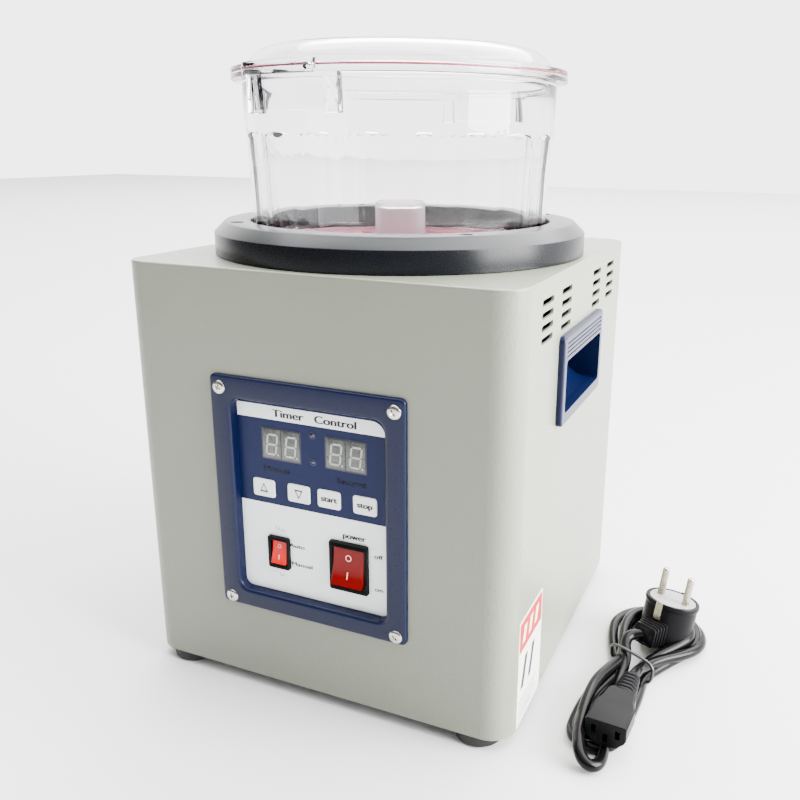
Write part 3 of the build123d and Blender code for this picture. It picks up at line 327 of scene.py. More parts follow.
def turn_grid(work, profile, angles, place_at):
    """Turns a profile round given angles, every point moved by place_at; both ends are poles."""
    columns = []
    for radius, height in profile:
        if radius < 1e-6:
            columns.append([work.verts.new((0, 0, height))])
            continue
        ring = []
        for angle in angles:
            reach, level = place_at(radius, height, angle)
            ring.append(work.verts.new((reach * math.cos(angle), reach * math.sin(angle), level)))
        columns.append(ring)
    count = len(angles)
    for first, second in zip(columns, columns[1:]):
        for i in range(count):
            j = (i + 1) % count
            if len(first) == 1:
                work.faces.new((first[0], second[j], second[i]))
            elif len(second) == 1:
                work.faces.new((first[i], first[j], second[0]))
            else:
                work.faces.new((first[i], first[j], second[j], second[i]))


def arc(centre, radius, start, end, count):
    """Points (across, up) on an arc between two angles in degrees."""
    points = []
    for i in range(count + 1):
        angle = math.radians(start + (end - start) * i / count)
        points.append((centre[0] + radius * math.cos(angle), centre[1] + radius * math.sin(angle)))
    return points


def rounded(half_w, half_h, radius, per_corner=6):
    """Outline (across, up) of a rounded rectangle about the origin."""
    outline = []
    for cx, cy, start in ((1, 1, 0), (-1, 1, 90), (-1, -1, 180), (1, -1, 270)):
        centre = (cx * (half_w - radius), cy * (half_h - radius))
        outline += arc(centre, radius, start, start + 90, per_corner)
    return outline


def front_ring(half_w, half_h, radius, y, x=0.0, z=0.0, per_corner=6):
    """A rounded rectangle that faces -Y."""
    return [(x + u, y, z + v) for u, v in rounded(half_w, half_h, radius, per_corner)]


def front_plate(work, half_w, half_h, radius, back, face, x, z, edge=0.3):
    """A plate facing -Y with softened front edges."""
    steps = [(0, back), (0, face + edge), (edge * 0.3, face + edge * 0.3), (edge, face)]
    rings = [front_ring(half_w - o, half_h - o, max(0.05, radius - o), y, x, z) for o, y in steps]
    loft(work, rings)


def box_with_bevel(work, low, high, bevel, segments=2):
    """A box between two corners with rounded edges."""
    size = [high[i] - low[i] for i in range(3)]
    middle = [(high[i] + low[i]) / 2 for i in range(3)]
    made = bmesh.ops.create_cube(work, size=1.0)["verts"]
    bmesh.ops.scale(work, vec=size, verts=made)
    bmesh.ops.translate(work, vec=middle, verts=made)
    edges = list({e for v in made for e in v.link_edges})
    bmesh.ops.bevel(work, geom=edges, offset=bevel, segments=segments, affect="EDGES", profile=0.5)


def combine(base, others, operation="UNION"):
    """Joins or cuts closed meshes, one after another."""
    holder = bpy.data.objects.new("holder", base)
    scene.collection.objects.link(holder)
    for other in others:
        tool = bpy.data.objects.new("tool", other)
        scene.collection.objects.link(tool)
        modifier = holder.modifiers.new("join", "BOOLEAN")
        modifier.operation = operation
        modifier.solver = "EXACT"
        modifier.object = tool
        bpy.context.view_layer.update()
        seen = holder.evaluated_get(bpy.context.evaluated_depsgraph_get())
        result = bpy.data.meshes.new_from_object(seen)
        holder.modifiers.clear()
        holder.data = result
        bpy.data.objects.remove(tool)
    mesh = holder.data
    bpy.data.objects.remove(holder)
    return mesh


def cut(piece, cutters):
    """Cuts closed meshes out of a piece and keeps the result as its mesh."""
    piece.data = combine(piece.data, cutters, "DIFFERENCE")


def text_mesh(words, size, x, z, y, bold=0.0, depth=0.04, stretch=1.0):
    """Flat lettering that faces -Y, its middle at (x, z), thickened by copies set side by side."""
    curve = bpy.data.curves.new("words", "FONT")
    curve.body = words
    curve.size = size
    curve.extrude = depth
    curve.align_x = "CENTER"
    curve.align_y = "CENTER"
    holder = bpy.data.objects.new("words", curve)
    scene.collection.objects.link(holder)
    bpy.context.view_layer.update()
    flat = bpy.data.meshes.new_from_object(holder.evaluated_get(bpy.context.evaluated_depsgraph_get()))
    bpy.data.objects.remove(holder)
    work = bmesh.new()
    for shift in ((-bold, 0.0, bold) if bold else (0.0,)):
        copy = flat.copy()
        place = Matrix.Translation((x + shift, y, z)) @ Matrix.Rotation(math.radians(90), 4, "X")
        copy.transform(Matrix.Scale(MM, 4) @ place @ Matrix.Diagonal((stretch, 1, 1, 1)))
        work.from_mesh(copy)
    mesh = bpy.data.meshes.new("words")
    work.to_mesh(mesh)
    work.free()
    return mesh


# ------------------------------------------------------------------ mains lead

CORD_RADIUS = 3.5
TIE = Vector((174.5, -19.0, 0.0))
ACROSS = Vector((0.866, -0.5, 0.0))
ALONG = Vector((0.5, 0.866, 0.0))


def at_tie(slot, height):
    """Where a strand passes through the tie; slot is measured across the bundle."""
    return TIE + ACROSS * slot + Vector((0.0, 0.0, height))


def loop(centre, radius, first, last, heights, steps=8):
    """Points round the far end of one loop, from one angle to another, its height changing on the way."""
    points = []
    for i in range(steps + 1):
        share = i / steps
        angle = math.radians(first + (last - first) * share)
        place = share * (len(heights) - 1)
        low = min(len(heights) - 2, int(place))
        height = heights[low] + (heights[low + 1] - heights[low]) * (place - low)
        points.append(Vector((centre[0] + radius * math.cos(angle), centre[1] + radius * math.sin(angle),
                              height)))
    return points


def lead_route():
    """The whole lead, from the connector's boot through six loops tied in the middle to the plug's boot."""
    route = [Vector((179.5, -46.5, 16.3)), Vector((180.4, -35.5, 14.6)), at_tie(9.0, 10.8),
             Vector((191.5, -8.0, 9.4))]
    route += loop((184.0, 31.0), 31.0, -40, 200, (6.5, 4.0, 3.8, 3.8, 3.8))
    route += [Vector((159.5, 1.0, 3.8)), at_tie(-10.5, 3.8), Vector((158.5, -38.0, 3.8)),
              Vector((153.8, -64.0, 3.8))]
    route += loop((166.8, -86.5), 14.0, 172, 368, (3.8, 3.8, 3.8), 6)
    route += [Vector((183.0, -64.0, 3.8)), Vector((184.4, -42.0, 3.8)), at_tie(10.5, 3.8),
              Vector((194.0, -4.5, 4.0))]
    route += loop((187.0, 31.0), 24.5, -30, 184, (4.2, 8.0, 9.5, 6.0, 3.8), 7)
    route += [Vector((165.0, 9.0, 3.8)), at_tie(-3.5, 3.8), Vector((165.0, -38.0, 6.5)),
              Vector((159.4, -62.0, 8.5))]
    route += loop((167.0, -84.0), 10.0, 172, 368, (8.5, 7.0, 3.8, 3.8), 5)
    route += [Vector((177.6, -62.0, 3.8)), Vector((178.2, -40.0, 3.8)), at_tie(3.5, 3.8),
              Vector((188.5, -1.5, 7.4))]
    route += loop((185.0, 28.0), 22.0, -26, 182, (10.6, 11.0, 11.5, 11.0), 7)
    route += [Vector((164.4, 8.0, 10.8)), at_tie(-6.5, 10.8), Vector((164.0, -36.0, 14.0)),
              Vector((160.0, -56.0, 17.6)), Vector((159.2, -76.0, 18.3)), Vector((159.6, -94.0, 16.5)),
              Vector((161.2, -107.0, 13.0)), Vector((164.6, -115.4, 8.8)), Vector((170.2, -118.0, 5.4)),
              Vector((175.0, -113.6, 4.1)), Vector((175.4, -104.0, 3.8)), Vector((173.0, -86.0, 3.8)),
              Vector((170.4, -62.0, 3.8)), Vector((170.4, -38.0, 6.0)), at_tie(-3.0, 11.5),
              Vector((168.2, -7.6, 17.0)), Vector((170.9, -0.3, 19.3)), Vector((178.0, 2.2, 19.8))]
    return route


def make_cord():
    curve = bpy.data.curves.new("mains_flex", "CURVE")
    curve.dimensions = "3D"
    spline = curve.splines.new("NURBS")
    route = lead_route()
    spline.points.add(len(route) - 1)
    for point, place in zip(spline.points, route):
        point.co = (*(place * MM), 1.0)
    spline.order_u = 3
    spline.use_endpoint_u = True
    spline.resolution_u = 10
    curve.bevel_depth = CORD_RADIUS * MM
    curve.bevel_resolution = 5
    curve.use_fill_caps = True
    flex = bpy.data.objects.new("mains_flex", curve)
    scene.collection.objects.link(flex)
    curve.materials.append(MATERIALS["cord_black"])
    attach(flex, "root")
    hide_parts("cord_hank")
    return flex


flex = make_cord()

PLUG_PLACE = (Matrix.Translation((188.9, 26.4, 3.2)) @ Matrix.Rotation(math.radians(-13.0), 4, "X")
              @ Matrix.Rotation(math.radians(-21.6), 4, "Z") @ Matrix.Rotation(math.radians(7.0), 4, "Y"))
CONNECTOR_PLACE = (Matrix.Translation((175.5, -103.0, 16.3)) @ Matrix.Rotation(math.radians(-4.0), 4, "Z"))


def make_plug():
    work = bmesh.new()
    profile = [(0, 0)] + arc((13.0, 5.0), 5.0, -90, 0, 6) + [(17.7, 12), (17.7, 27.4), (18.2, 28.0)]
    profile += [(18.4, 28.6), (18.4, 30.2), (17.9, 31.0), (16.4, 31.0), (16.0, 30.5), (0, 30.5)]

    def notched(radius, height, angle):
        """Flats for the earth strips, on the two sides across from the pins."""
        if height > 19 and radius > 15 and abs(math.cos(angle)) * radius < 2.8:
            return min(radius, 17.0 / abs(math.sin(angle))), height
        return radius, height

    turn_grid(work, profile, [2 * math.pi * i / 120 for i in range(120)], notched)
    bmesh.ops.transform(work, matrix=PLUG_PLACE, verts=work.verts)
    boot = bmesh.new()
    rings = []
    for i in range(6):
        near = 12.6 + i * 3.1
        width = 9.2 - i * 0.32
        height = 8.4 - i * 0.32
        for offset, inset in ((0.0, 1.3), (0.3, 0.2), (0.6, 0.0), (1.9, 0.0), (2.2, 0.2), (2.5, 1.3)):
            outline = rounded(width - inset, height - inset, 2.4, 5)
            rings.append([(u, -(near + offset), 10.5 + v) for u, v in outline])
    rings.append([(u, -32.0, 10.5 + v) for u, v in rounded(4.6, 4.6, 4.5, 5)])
    loft(boot, rings, matrix=PLUG_PLACE)
    body = add_piece("plug_shell", mesh_from("plug_shell", work), MATERIALS["black_plastic"], "root")
    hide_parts("plug_body")
    sleeve = add_piece("plug_boot", mesh_from("plug_boot", boot), MATERIALS["black_plastic"], "root",
                       30)
    # A grey disc over the plug's black face: a painted highlight that stands in for the whitish light seen on
    # the face round the pins.
    face = bmesh.new()
    turn(face, [(0, 30.4), (15.6, 30.4), (15.6, 30.8), (0, 30.8)], 64)
    bmesh.ops.transform(face, matrix=PLUG_PLACE, verts=face.verts)
    painted_highlight_disc = add_piece("plug_face_painted_highlight", mesh_from("plug_face_painted_highlight", face), PRINT_GREY, "root")
    return [body, sleeve, painted_highlight_disc]


def make_connector():
    """Six-sided nose, waisted grip and ribbed boot, one skin along the lead's direction."""
    def outline(half_w, half_h, chamfer, y, corner=1.2):
        base = [(-half_w, half_h), (half_w, half_h), (half_w, -half_h + chamfer),
                (half_w - chamfer, -half_h), (-half_w + chamfer, -half_h), (-half_w, -half_h + chamfer)]
        points = []
        for i, (px, pz) in enumerate(base):
            for other in (base[i - 1], base[(i + 1) % 6]):
                way = Vector((other[0] - px, other[1] - pz)).normalized() * corner
                points.append((px + way.x, y, pz + way.y))
        return points

    work = bmesh.new()
    sections = [(11.3, 7.3, 5.6, 0.0), (11.9, 7.8, 6.0, 0.5), (12.0, 7.9, 6.0, 1.4), (12.0, 7.9, 6.0, 19.0),
                (11.4, 7.7, 5.6, 21.0), (9.8, 7.4, 4.6, 26.0), (9.3, 7.3, 4.4, 31.0), (8.6, 7.1, 4.2, 35.0),
                (7.4, 6.6, 3.6, 37.0)]
    loft(work, [outline(*s) for s in sections], matrix=CONNECTOR_PLACE)
    nose = add_piece("connector_shell", mesh_from("connector_shell", work), MATERIALS["black_plastic"],
                     "root", 32)
    slots = []
    for x, z in ((-7.0, 2.0), (7.0, 2.0), (0.0, -2.0)):
        tool = bmesh.new()
        box_with_bevel(tool, (x - 1.4, -2, z - 2.7), (x + 1.4, 14, z + 2.7), 0.2, 1)
        bmesh.ops.transform(tool, matrix=CONNECTOR_PLACE, verts=tool.verts)
        slots.append(mesh_from("slot", tool))
    cut(nose, slots)
    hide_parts("connector_body")
    boot = bmesh.new()
    rings = []
    for i in range(6):
        near = 36.0 + i * 3.9
        radius = 7.0 - i * 0.42
        for offset, inset in ((0.0, 1.4), (0.3, 0.2), (0.8, 0.0), (2.2, 0.0), (2.6, 0.3), (2.9, 1.4)):
            wide = radius - inset
            rings.append([(u, near + offset, v) for u, v in rounded(wide * 1.08, wide, wide * 0.8, 6)])
    rings.append([(u, 60.4, v) for u, v in rounded(3.9, 3.9, 3.8, 6)])
    loft(boot, rings, matrix=CONNECTOR_PLACE)
    sleeve = add_piece("connector_boot", mesh_from("connector_boot", boot), MATERIALS["black_plastic"],
                       "root", 30)
    return [nose, sleeve]


def make_tie():
    """Coated wire pulled round the crossing."""
    steps = 44
    path = []
    for i in range(steps):
        angle = 2 * math.pi * i / steps
        across = 17.2 * math.copysign(abs(math.cos(angle)) ** 0.6, math.cos(angle))
        up = 9.4 + 8.6 * math.copysign(abs(math.sin(angle)) ** 0.7, math.sin(angle))
        along = 1.4 * math.sin(angle * 2 + 0.6)
        path.append(TIE + ACROSS * across + ALONG * along + Vector((0, 0, up)))
    work = bmesh.new()
    rings = []
    for i, place in enumerate(path):
        ahead = (path[(i + 1) % steps] - path[i - 1]).normalized()
        out = ahead.cross(ALONG).normalized()
        rings.append([place + ALONG * 1.15 * math.cos(a) + out * 0.9 * math.sin(a)
                      for a in [2 * math.pi * k / 12 for k in range(12)]])
    loft(work, rings, closed=True)
    tie = add_piece("lead_tie", mesh_from("lead_tie", work), MATERIALS["tie_black"], "root")
    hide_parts("cord_tie")
    return tie


plug_pieces = make_plug()
connector_pieces = make_connector()
lead_tie = make_tie()
tuple(lead_route()[0] * MM)


# ------------------------------------------------------------------ carried-over parts

def dress_cad_parts():
    """Every part that is shown as packed takes the finish of its slot."""
    for part in frame["record"]["subparts"]:
        node = frame["nodes"][part["node"]]
        node.data.materials.clear()
        node.data.materials.append(MATERIALS[part["material_slot"]])


def soften_edges(node, width, segments=3, angle=40.0):
    modifier = frame["nodes"][node].modifiers.new("soft_edges", "BEVEL")
    modifier.width = width * MM
    modifier.segments = segments
    modifier.limit_method = "ANGLE"
    modifier.angle_limit = math.radians(angle)
    modifier.use_clamp_overlap = True
    modifier.harden_normals = True


dress_cad_parts()


# ------------------------------------------------------------------ bowl

BOWL_BOTTOM = 269.3
RIM_BOTTOM = 371.5
RIM_TOP = 375.0
RIM_RADIUS = 105.0
FIRST_LUG = -101.5
SECOND_LUG = 78.5
FLUTES = 20
FLUTE_HALF = 8.2
ARCH_LOW = 336.3
ARCH_HIGH = 336.9
FOOT_LOW = 275.8
FOOT_HIGH = 276.5


def wall_radius(height):
    return 94.8 + (height - BOWL_BOTTOM) * 3.8 / (RIM_BOTTOM - BOWL_BOTTOM)


def flute_offset(angle):
    """Degrees from the middle of the nearest flute."""
    step = 360 / FLUTES
    return (math.degrees(angle) - FIRST_LUG) % step - step / 2


def fluted(radius, height, angle):
    """Bowl wall with flat, round-topped flutes: the place of one grid point."""
    if radius < 94.0:
        return radius, height
    offset = flute_offset(angle)
    inside = abs(offset) <= FLUTE_HALF + 0.01
    if height in (ARCH_LOW, ARCH_HIGH):
        rise = 4.5 * math.sqrt(max(0.0, 1 - (offset / FLUTE_HALF) ** 2)) if inside else 0.0
        height += rise
        flat = inside and height - rise == ARCH_LOW
    else:
        flat = inside and FOOT_HIGH <= height < ARCH_LOW
    plain_radius = wall_radius(height) if 271 < height < RIM_BOTTOM - 1 else radius
    if flat:
        plain_radius *= math.cos(math.radians(FLUTE_HALF)) / math.cos(math.radians(offset))
        plain_radius -= 0.12 * math.cos(math.radians(offset / FLUTE_HALF * 90))
    return plain_radius, height


def flute_angles():
    stops = (-9.0, -8.6, -8.2, -7.6, -6.4, -5.0, -3.6, -2.2, -0.8, 0.8, 2.2, 3.6, 5.0, 6.4, 7.6, 8.2, 8.6)
    step = 360 / FLUTES
    return [math.radians(FIRST_LUG + (i + 0.5) * step + s) for i in range(FLUTES) for s in stops]


def bent_box(t0, t1, r0, r1, z0, z1, azimuth, bevel=0.5):
    """A bevelled box bent round the bowl's axis: t runs round the rim, r outward."""
    work = bmesh.new()
    box_with_bevel(work, (t0, r0, z0), (t1, r1, z1), bevel, 2)
    place = math.ceil(t0 / 4) * 4
    while place < t1:
        geometry = work.verts[:] + work.edges[:] + work.faces[:]
        bmesh.ops.bisect_plane(work, geom=geometry, plane_co=(place, 0, 0), plane_no=(1, 0, 0))
        place += 4
    start = math.radians(azimuth)
    for vert in work.verts:
        t, r, z = vert.co
        angle = start + t / 101.0
        vert.co = (r * math.cos(angle), r * math.sin(angle), z)
    bmesh.ops.recalc_face_normals(work, faces=work.faces)
    bmesh.ops.scale(work, vec=(MM, MM, MM), verts=work.verts)
    mesh = bpy.data.meshes.new("bent")
    work.to_mesh(mesh)
    work.free()
    return mesh


def lug_mesh(azimuth):
    """Grip under the rim: a thin panel between two hollow ears."""
    ears = []
    for side in (-1, 1):
        low, high = sorted((side * 25.0, side * 33.5))
        outer = bent_box(low, high, 97.0, 105.0, 351.0, 371.9, azimuth, 0.7)
        low, high = sorted((side * 26.9, side * 31.6))
        inner = bent_box(low, high, 99.8, 108.0, 353.2, 371.4, azimuth, 0.5)
        ears.append(combine(outer, [inner], "DIFFERENCE"))
    panel = bent_box(-25.6, 25.6, 102.6, 104.6, 352.6, 371.9, azimuth, 0.4)
    return combine(ears[0], [panel, ears[1]])


def make_bowl():
    work = bmesh.new()
    hub = 16.2
    inner_top = 98.6 - 2.8
    inner_base = 94.8 - 2.8
    profile = [(0, 295.5), (11.6, 295.5), (12.8, 294.6), (13.2, BOWL_BOTTOM + 0.5), (13.6, BOWL_BOTTOM),
               (50, BOWL_BOTTOM), (92.6, BOWL_BOTTOM), (94.0, 269.9), (94.7, 271.0)]
    profile += [(95.0, z) for z in (273.0, FOOT_LOW, FOOT_HIGH, 290.0, 306.0, 322.0, 332.0,
                                    ARCH_LOW, ARCH_HIGH)]
    profile += [(98.0, z) for z in (344.0, 352.0, 362.0)]
    profile += [(98.6, 370.6), (98.9, 371.3), (99.5, RIM_BOTTOM), (104.3, RIM_BOTTOM), (104.8, 371.8),
                (RIM_RADIUS, 372.3), (RIM_RADIUS, 374.3), (104.8, 374.8), (104.3, RIM_TOP),
                (inner_top + 0.9, RIM_TOP), (inner_top + 0.2, 374.8), (inner_top - 0.05, 374.1)]
    for z in (350.0, 320.0, 295.0, 276.5):
        profile.append((inner_base + (z - 269.3) * 0.0372, z))
    profile += [(inner_base - 0.2, 274.4), (inner_base - 1.1, 272.7), (inner_base - 2.8, 272.1), (55, 272.1),
                (hub + 1.2, 272.1), (hub + 0.4, 272.4), (hub, 273.2), (hub - 0.35, 296.4), (hub - 0.8, 297.7),
                (hub - 1.9, 298.3), (0, 298.3)]
    turn_grid(work, profile, flute_angles(), fluted)
    wall = mesh_from("bowl_wall", work)
    mesh = combine(wall, [lug_mesh(FIRST_LUG), lug_mesh(SECOND_LUG)])
    bowl = add_piece("bowl_clear", mesh, MATERIALS["clear_plastic"], "bowl", 24)
    # The hub's faces take the frosted plastic with the pink tint, which is painted light from the pad.
    bowl.data.materials.append(HUB_FROSTED_PAINTED_PAD_LIGHT)
    for face in bowl.data.polygons:
        if face.center.xy.length < 0.0168 and face.center.z < 0.3:
            face.material_index = 1
    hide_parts("bowl")


def make_lid():
    work = bmesh.new()
    flange = 375.9
    profile = [(0, 392.3)]
    crown_edge = (79 + 17.5 * math.cos(math.radians(78)), 373.3 + 17.5 * math.sin(math.radians(78)))
    rise = 392.3 - crown_edge[1]
    crown = (crown_edge[0] ** 2 + rise ** 2) / (2 * rise)
    for share in (0.12, 0.25, 0.4, 0.55, 0.7, 0.85):
        reach = crown_edge[0] * share
        profile.append((reach, 392.3 - crown + math.sqrt(crown ** 2 - reach ** 2)))
    profile += arc((79.0, 373.3), 17.5, 78, 17, 14)
    profile += [(96.2, 378.3), (97.2, 378.2), (104.2, 378.2), (104.8, 378.0), (105.0, 377.5), (105.0, 376.6),
                (104.7, 376.1), (104.2, flange), (95.5, flange), (95.1, 375.5), (95.0, 370.1), (94.7, 369.6),
                (94.3, 369.5), (93.6, 369.5), (93.2, 369.7), (93.0, 370.1), (93.0, 374.0)]
    profile += arc((79.0, 373.3), 15.1, 12, 78, 14)
    inner_edge = profile[-1]
    drop = 389.9 - inner_edge[1]
    inner_crown = (inner_edge[0] ** 2 + drop ** 2) / (2 * drop)
    for share in (0.85, 0.7, 0.55, 0.4, 0.25, 0.12):
        reach = inner_edge[0] * share
        profile.append((reach, 389.9 - inner_crown + math.sqrt(inner_crown ** 2 - reach ** 2)))
    profile.append((0, 389.9))
    turn(work, profile, 240)
    dome = mesh_from("lid_dome", work)
    extras = []
    for azimuth in (FIRST_LUG, SECOND_LUG):
        cover = bent_box(-33.5, 22.0, 105.4, 107.4, 371.0, 378.3, azimuth, 0.6)
        shelf = bent_box(-33.2, 21.7, 101.5, 107.0, 376.2, 378.6, azimuth, 0.7)
        hook = bent_box(14.5, 22.0, 105.6, 108.6, 371.0, 378.3, azimuth, 0.8)
        grip = combine(cover, [shelf, hook])
        peg = bmesh.new()
        loft(peg, [[(u, r, v) for u, v in arc((18.2, 374.2), 1.9, 0, 345, 23)] for r in (103.6, 112.0)])
        start = math.radians(azimuth)
        for vert in peg.verts:
            t, r, z = vert.co
            angle = start + t / 101.0
            vert.co = (r * math.cos(angle), r * math.sin(angle), z)
        extras.append(combine(grip, [mesh_from("peg", peg)], "DIFFERENCE"))
    dome = combine(dome, extras)
    lid = add_piece("lid_clear", dome, MATERIALS["clear_plastic"], "lid", 30)
    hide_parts("lid")


def make_gasket():
    work = bmesh.new()
    turn(work, [(97.2, 375.0), (104.0, 375.0), (104.2, 375.2), (104.2, 375.7), (104.0, 375.9),
                (97.2, 375.9), (97.0, 375.7), (97.0, 375.2)], 240)
    ring = add_piece("lid_seal", mesh_from("lid_seal", work), MATERIALS["gasket_red"], "lid")
    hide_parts("lid_gasket")


def make_collar():
    work = bmesh.new()
    profile = [(97.5, 268.0), (119.7, 268.0), (120.2, 268.5), (120.2, 280.9), (120.05, 281.4), (119.7, 281.8)]
    profile += [(113.9, 287.4), (113.4, 287.8), (112.8, 288.0), (98.4, 288.0), (97.8, 287.8), (97.5, 287.2)]
    turn(work, profile, 320)
    ring = mesh_from("collar", work)
    sinks = []
    for x in (-75.66, 75.66):
        for y in (-75.66, 75.66):
            tool = bmesh.new()
            turn(tool, [(0, 283.9), (4.2, 283.9), (4.2, 287.6), (4.6, 288.4), (0, 288.4)], 32)
            bmesh.ops.translate(tool, vec=(x, y, 0), verts=tool.verts)
            sinks.append(mesh_from("sink", tool))
    collar = add_piece("collar_black", combine(ring, sinks, "DIFFERENCE"), MATERIALS["black_anodised"],
                       "root", 30)
    # Faces turned upward take the lighter copy, a painted sheen from the overhead light; the sides keep the
    # plain black.
    collar.data.materials.append(COLLAR_TOP_PAINTED_SHEEN)
    for face in collar.data.polygons:
        if face.normal.z > 0.3:
            face.material_index = 1
    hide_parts("collar_ring")


make_bowl()
make_lid()
make_gasket()
make_collar()


# ------------------------------------------------------------------ control panel

FILM = -121.25
WINDOW = (0.0, 130.7, 50.0, 61.3)


def make_panel_frame():
    """Moulded surround: bevelled outside, rolled inside, with a sloped inner wall."""
    work = bmesh.new()
    outside = [(0.0, -121.0), (0.0, -126.2), (0.25, -126.9), (0.8, -127.35), (1.5, -127.5)]
    inside = [(3.0, -127.5), (2.1, -127.4), (1.2, -127.0), (0.6, -126.4), (0.35, -125.6), (0.0, -121.3),
              (0.4, -121.0)]
    rings = [front_ring(63.5 - o, 74.3 - o, 3.4 - min(o, 1.5), y, 0.0, 131.9) for o, y in outside]
    x, z, half_w, half_h = WINDOW
    rings += [front_ring(half_w + o, half_h + o, 6.0 + o, y, x, z) for o, y in inside]
    loft(work, rings, closed=True)
    surround = add_piece("panel_surround", mesh_from("panel_surround", work), MATERIALS["frame_blue"],
                         "root", 40)
    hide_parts("bezel_frame")


def phillips_screw():
    """A domed head on its own +Z axis with a cross sunk into it."""
    work = bmesh.new()
    profile = [(0, 0), (4.1, 0), (4.15, 0.35), (3.9, 0.72), (3.4, 1.05), (2.6, 1.3), (1.6, 1.42), (0, 1.5)]
    turn(work, profile, 48)
    head = mesh_from("head", work)
    arms = []
    for along, across in ((2.5, 0.6), (0.6, 2.5)):
        tool = bmesh.new()
        loft(tool, [[(u, v, h) for u, v in ((a, b), (-a, b), (-a, -b), (a, -b))]
                    for h, a, b in ((0.35, along * 0.5, across * 0.5), (2.2, along * 1.05, across * 1.05))])
        arms.append(mesh_from("arm", tool))
    return combine(head, arms, "DIFFERENCE")


def make_panel_screws():
    head = phillips_screw()
    work = bmesh.new()
    spots = [(-56.7, 62.5, 12), (56.7, 62.5, 50), (-56.7, 198.5, -20), (56.7, 198.5, 33)]
    for x, z, spin in spots:
        copy = head.copy()
        # The head's own axis turns to face -Y, on the surround's face.
        place = Matrix.Translation((x * MM, -127.45 * MM, z * MM))
        place = place @ Matrix.Rotation(math.radians(90), 4, "X")
        copy.transform(place @ Matrix.Rotation(math.radians(spin), 4, "Z"))
        work.from_mesh(copy)
    mesh = bpy.data.meshes.new("panel_screws")
    work.to_mesh(mesh)
    work.free()
    screws = add_piece("panel_screw_heads", mesh, MATERIALS["screw_steel"], "root", 35)
    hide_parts("bezel_screws")


def printed(name, build, material, body="root"):
    """A piece of thin print built by a function that fills a bmesh."""
    work = bmesh.new()
    build(work)
    return add_piece(name, mesh_from(name, work), material, body, 40)


def flat_shape(work, outline, back, face):
    """An upright prism facing -Y from an outline of (x, z) points."""
    loft(work, [[(x, back, z) for x, z in outline], [(x, face, z) for x, z in outline]])


def ribbon(work, centre_line, width, back, face):
    """A line of even width along a row of (x, z) points."""
    left, right = [], []
    for i, (x, z) in enumerate(centre_line):
        ahead = centre_line[min(i + 1, len(centre_line) - 1)]
        behind = centre_line[max(i - 1, 0)]
        way = Vector((ahead[0] - behind[0], ahead[1] - behind[1])).normalized()
        left.append((x - way.y * width / 2, z + way.x * width / 2))
        right.append((x + way.y * width / 2, z - way.x * width / 2))
    flat_shape(work, left + right[::-1], back, face)


def blue_field(work):
    half_w = 50.3
    outline = [(-half_w, 127.5), (half_w, 127.5), (half_w, 192.0), (-half_w, 192.0)]
    flat_shape(work, outline, FILM + 0.02, FILM - 0.05)


def title_strip(work):
    corner = arc((40.0, 181.2), 8.2, 0, 90, 12)
    outline = [(-49.3, 181.0), (48.2, 181.0)] + [(x, z) for x, z in corner] + [(-49.3, 189.4)]
    flat_shape(work, outline, FILM - 0.04, FILM - 0.09)


def segment_bars(work, x, z):
    """The seven bars of one digit, leaning to the right, and its decimal point."""
    half_w, half_h, thick = 3.25, 6.1, 1.15
    lean = 0.13

    def bar(x0, z0, x1, z1):
        way = Vector((x1 - x0, z1 - z0)).normalized()
        side = Vector((-way.y, way.x)) * thick / 2
        a = Vector((x0, z0)) + way * 0.25
        b = Vector((x1, z1)) - way * 0.25
        tip = thick / 2
        points = [a, a + way * tip - side, b - way * tip - side,
                  b, b - way * tip + side, a + way * tip + side]
        outline = [(x + p.x + lean * p.y, z + p.y) for p in points]
        flat_shape(work, outline, FILM - 0.33, FILM - 0.37)

    for level in (-half_h, 0, half_h):
        bar(-half_w, level, half_w, level)
    for across in (-half_w, half_w):
        bar(across, -half_h, across, 0)
        bar(across, 0, across, half_h)
    dot = arc((x + 4.9 - lean * half_h, z - half_h - 0.1), 0.6, 0, 337.5, 15)
    flat_shape(work, dot, FILM - 0.33, FILM - 0.37)


def make_displays():
    spots = [(-19.6, 166.2), (23.2, 166.6)]

    def surrounds(work):
        for x, z in spots:
            front_plate(work, 13.5, 10.0, 0.8, FILM + 0.02, FILM - 0.20, x, z, 0.12)

    def cells(work):
        for x, z in spots:
            for side in (-1, 1):
                front_plate(work, 6.05, 8.9, 0.3, FILM - 0.1, FILM - 0.32, x + side * 6.45, z, 0.06)

    def digits(work):
        for x, z in spots:
            for side in (-1, 1):
                segment_bars(work, x + side * 6.45 + 0.1, z - 0.6)

    printed("display_surrounds", surrounds, PRINT_DARK_BLUE)
    windows = printed("display_cells", cells, MATERIALS["display_window"])
    printed("display_digits", digits, SEGMENT_GREY)
    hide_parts("time_displays")


def make_lamps():
    def rings(work):
        for z in (175.2, 159.0):
            rows = [[(1.7 + r * math.cos(a), y, z + r * math.sin(a))
                     for a in [2 * math.pi * i / 32 for i in range(32)]]
                    for r, y in ((2.2, FILM + 0.02), (2.2, FILM - 0.2), (1.95, FILM - 0.32), (1.7, FILM - 0.3),
                                 (1.6, FILM - 0.1), (1.6, FILM + 0.02))]
            loft(work, rows, closed=True)

    printed("lamp_rings", rings, PRINT_DARK_BLUE)


def triangle(work, x, z, direction, back, face):
    """Outline triangle pointing up (1) or down (-1)."""
    def corners(size):
        return [(x, z + direction * size * 1.05), (x - size * 0.93, z - direction * size * 0.82),
                (x + size * 0.93, z - direction * size * 0.82)]

    rings = [[(u, y, v) for u, v in corners(size)]
             for size, y in ((3.1, back), (3.1, face), (2.0, face), (2.0, back))]
    loft(work, rings, closed=True)


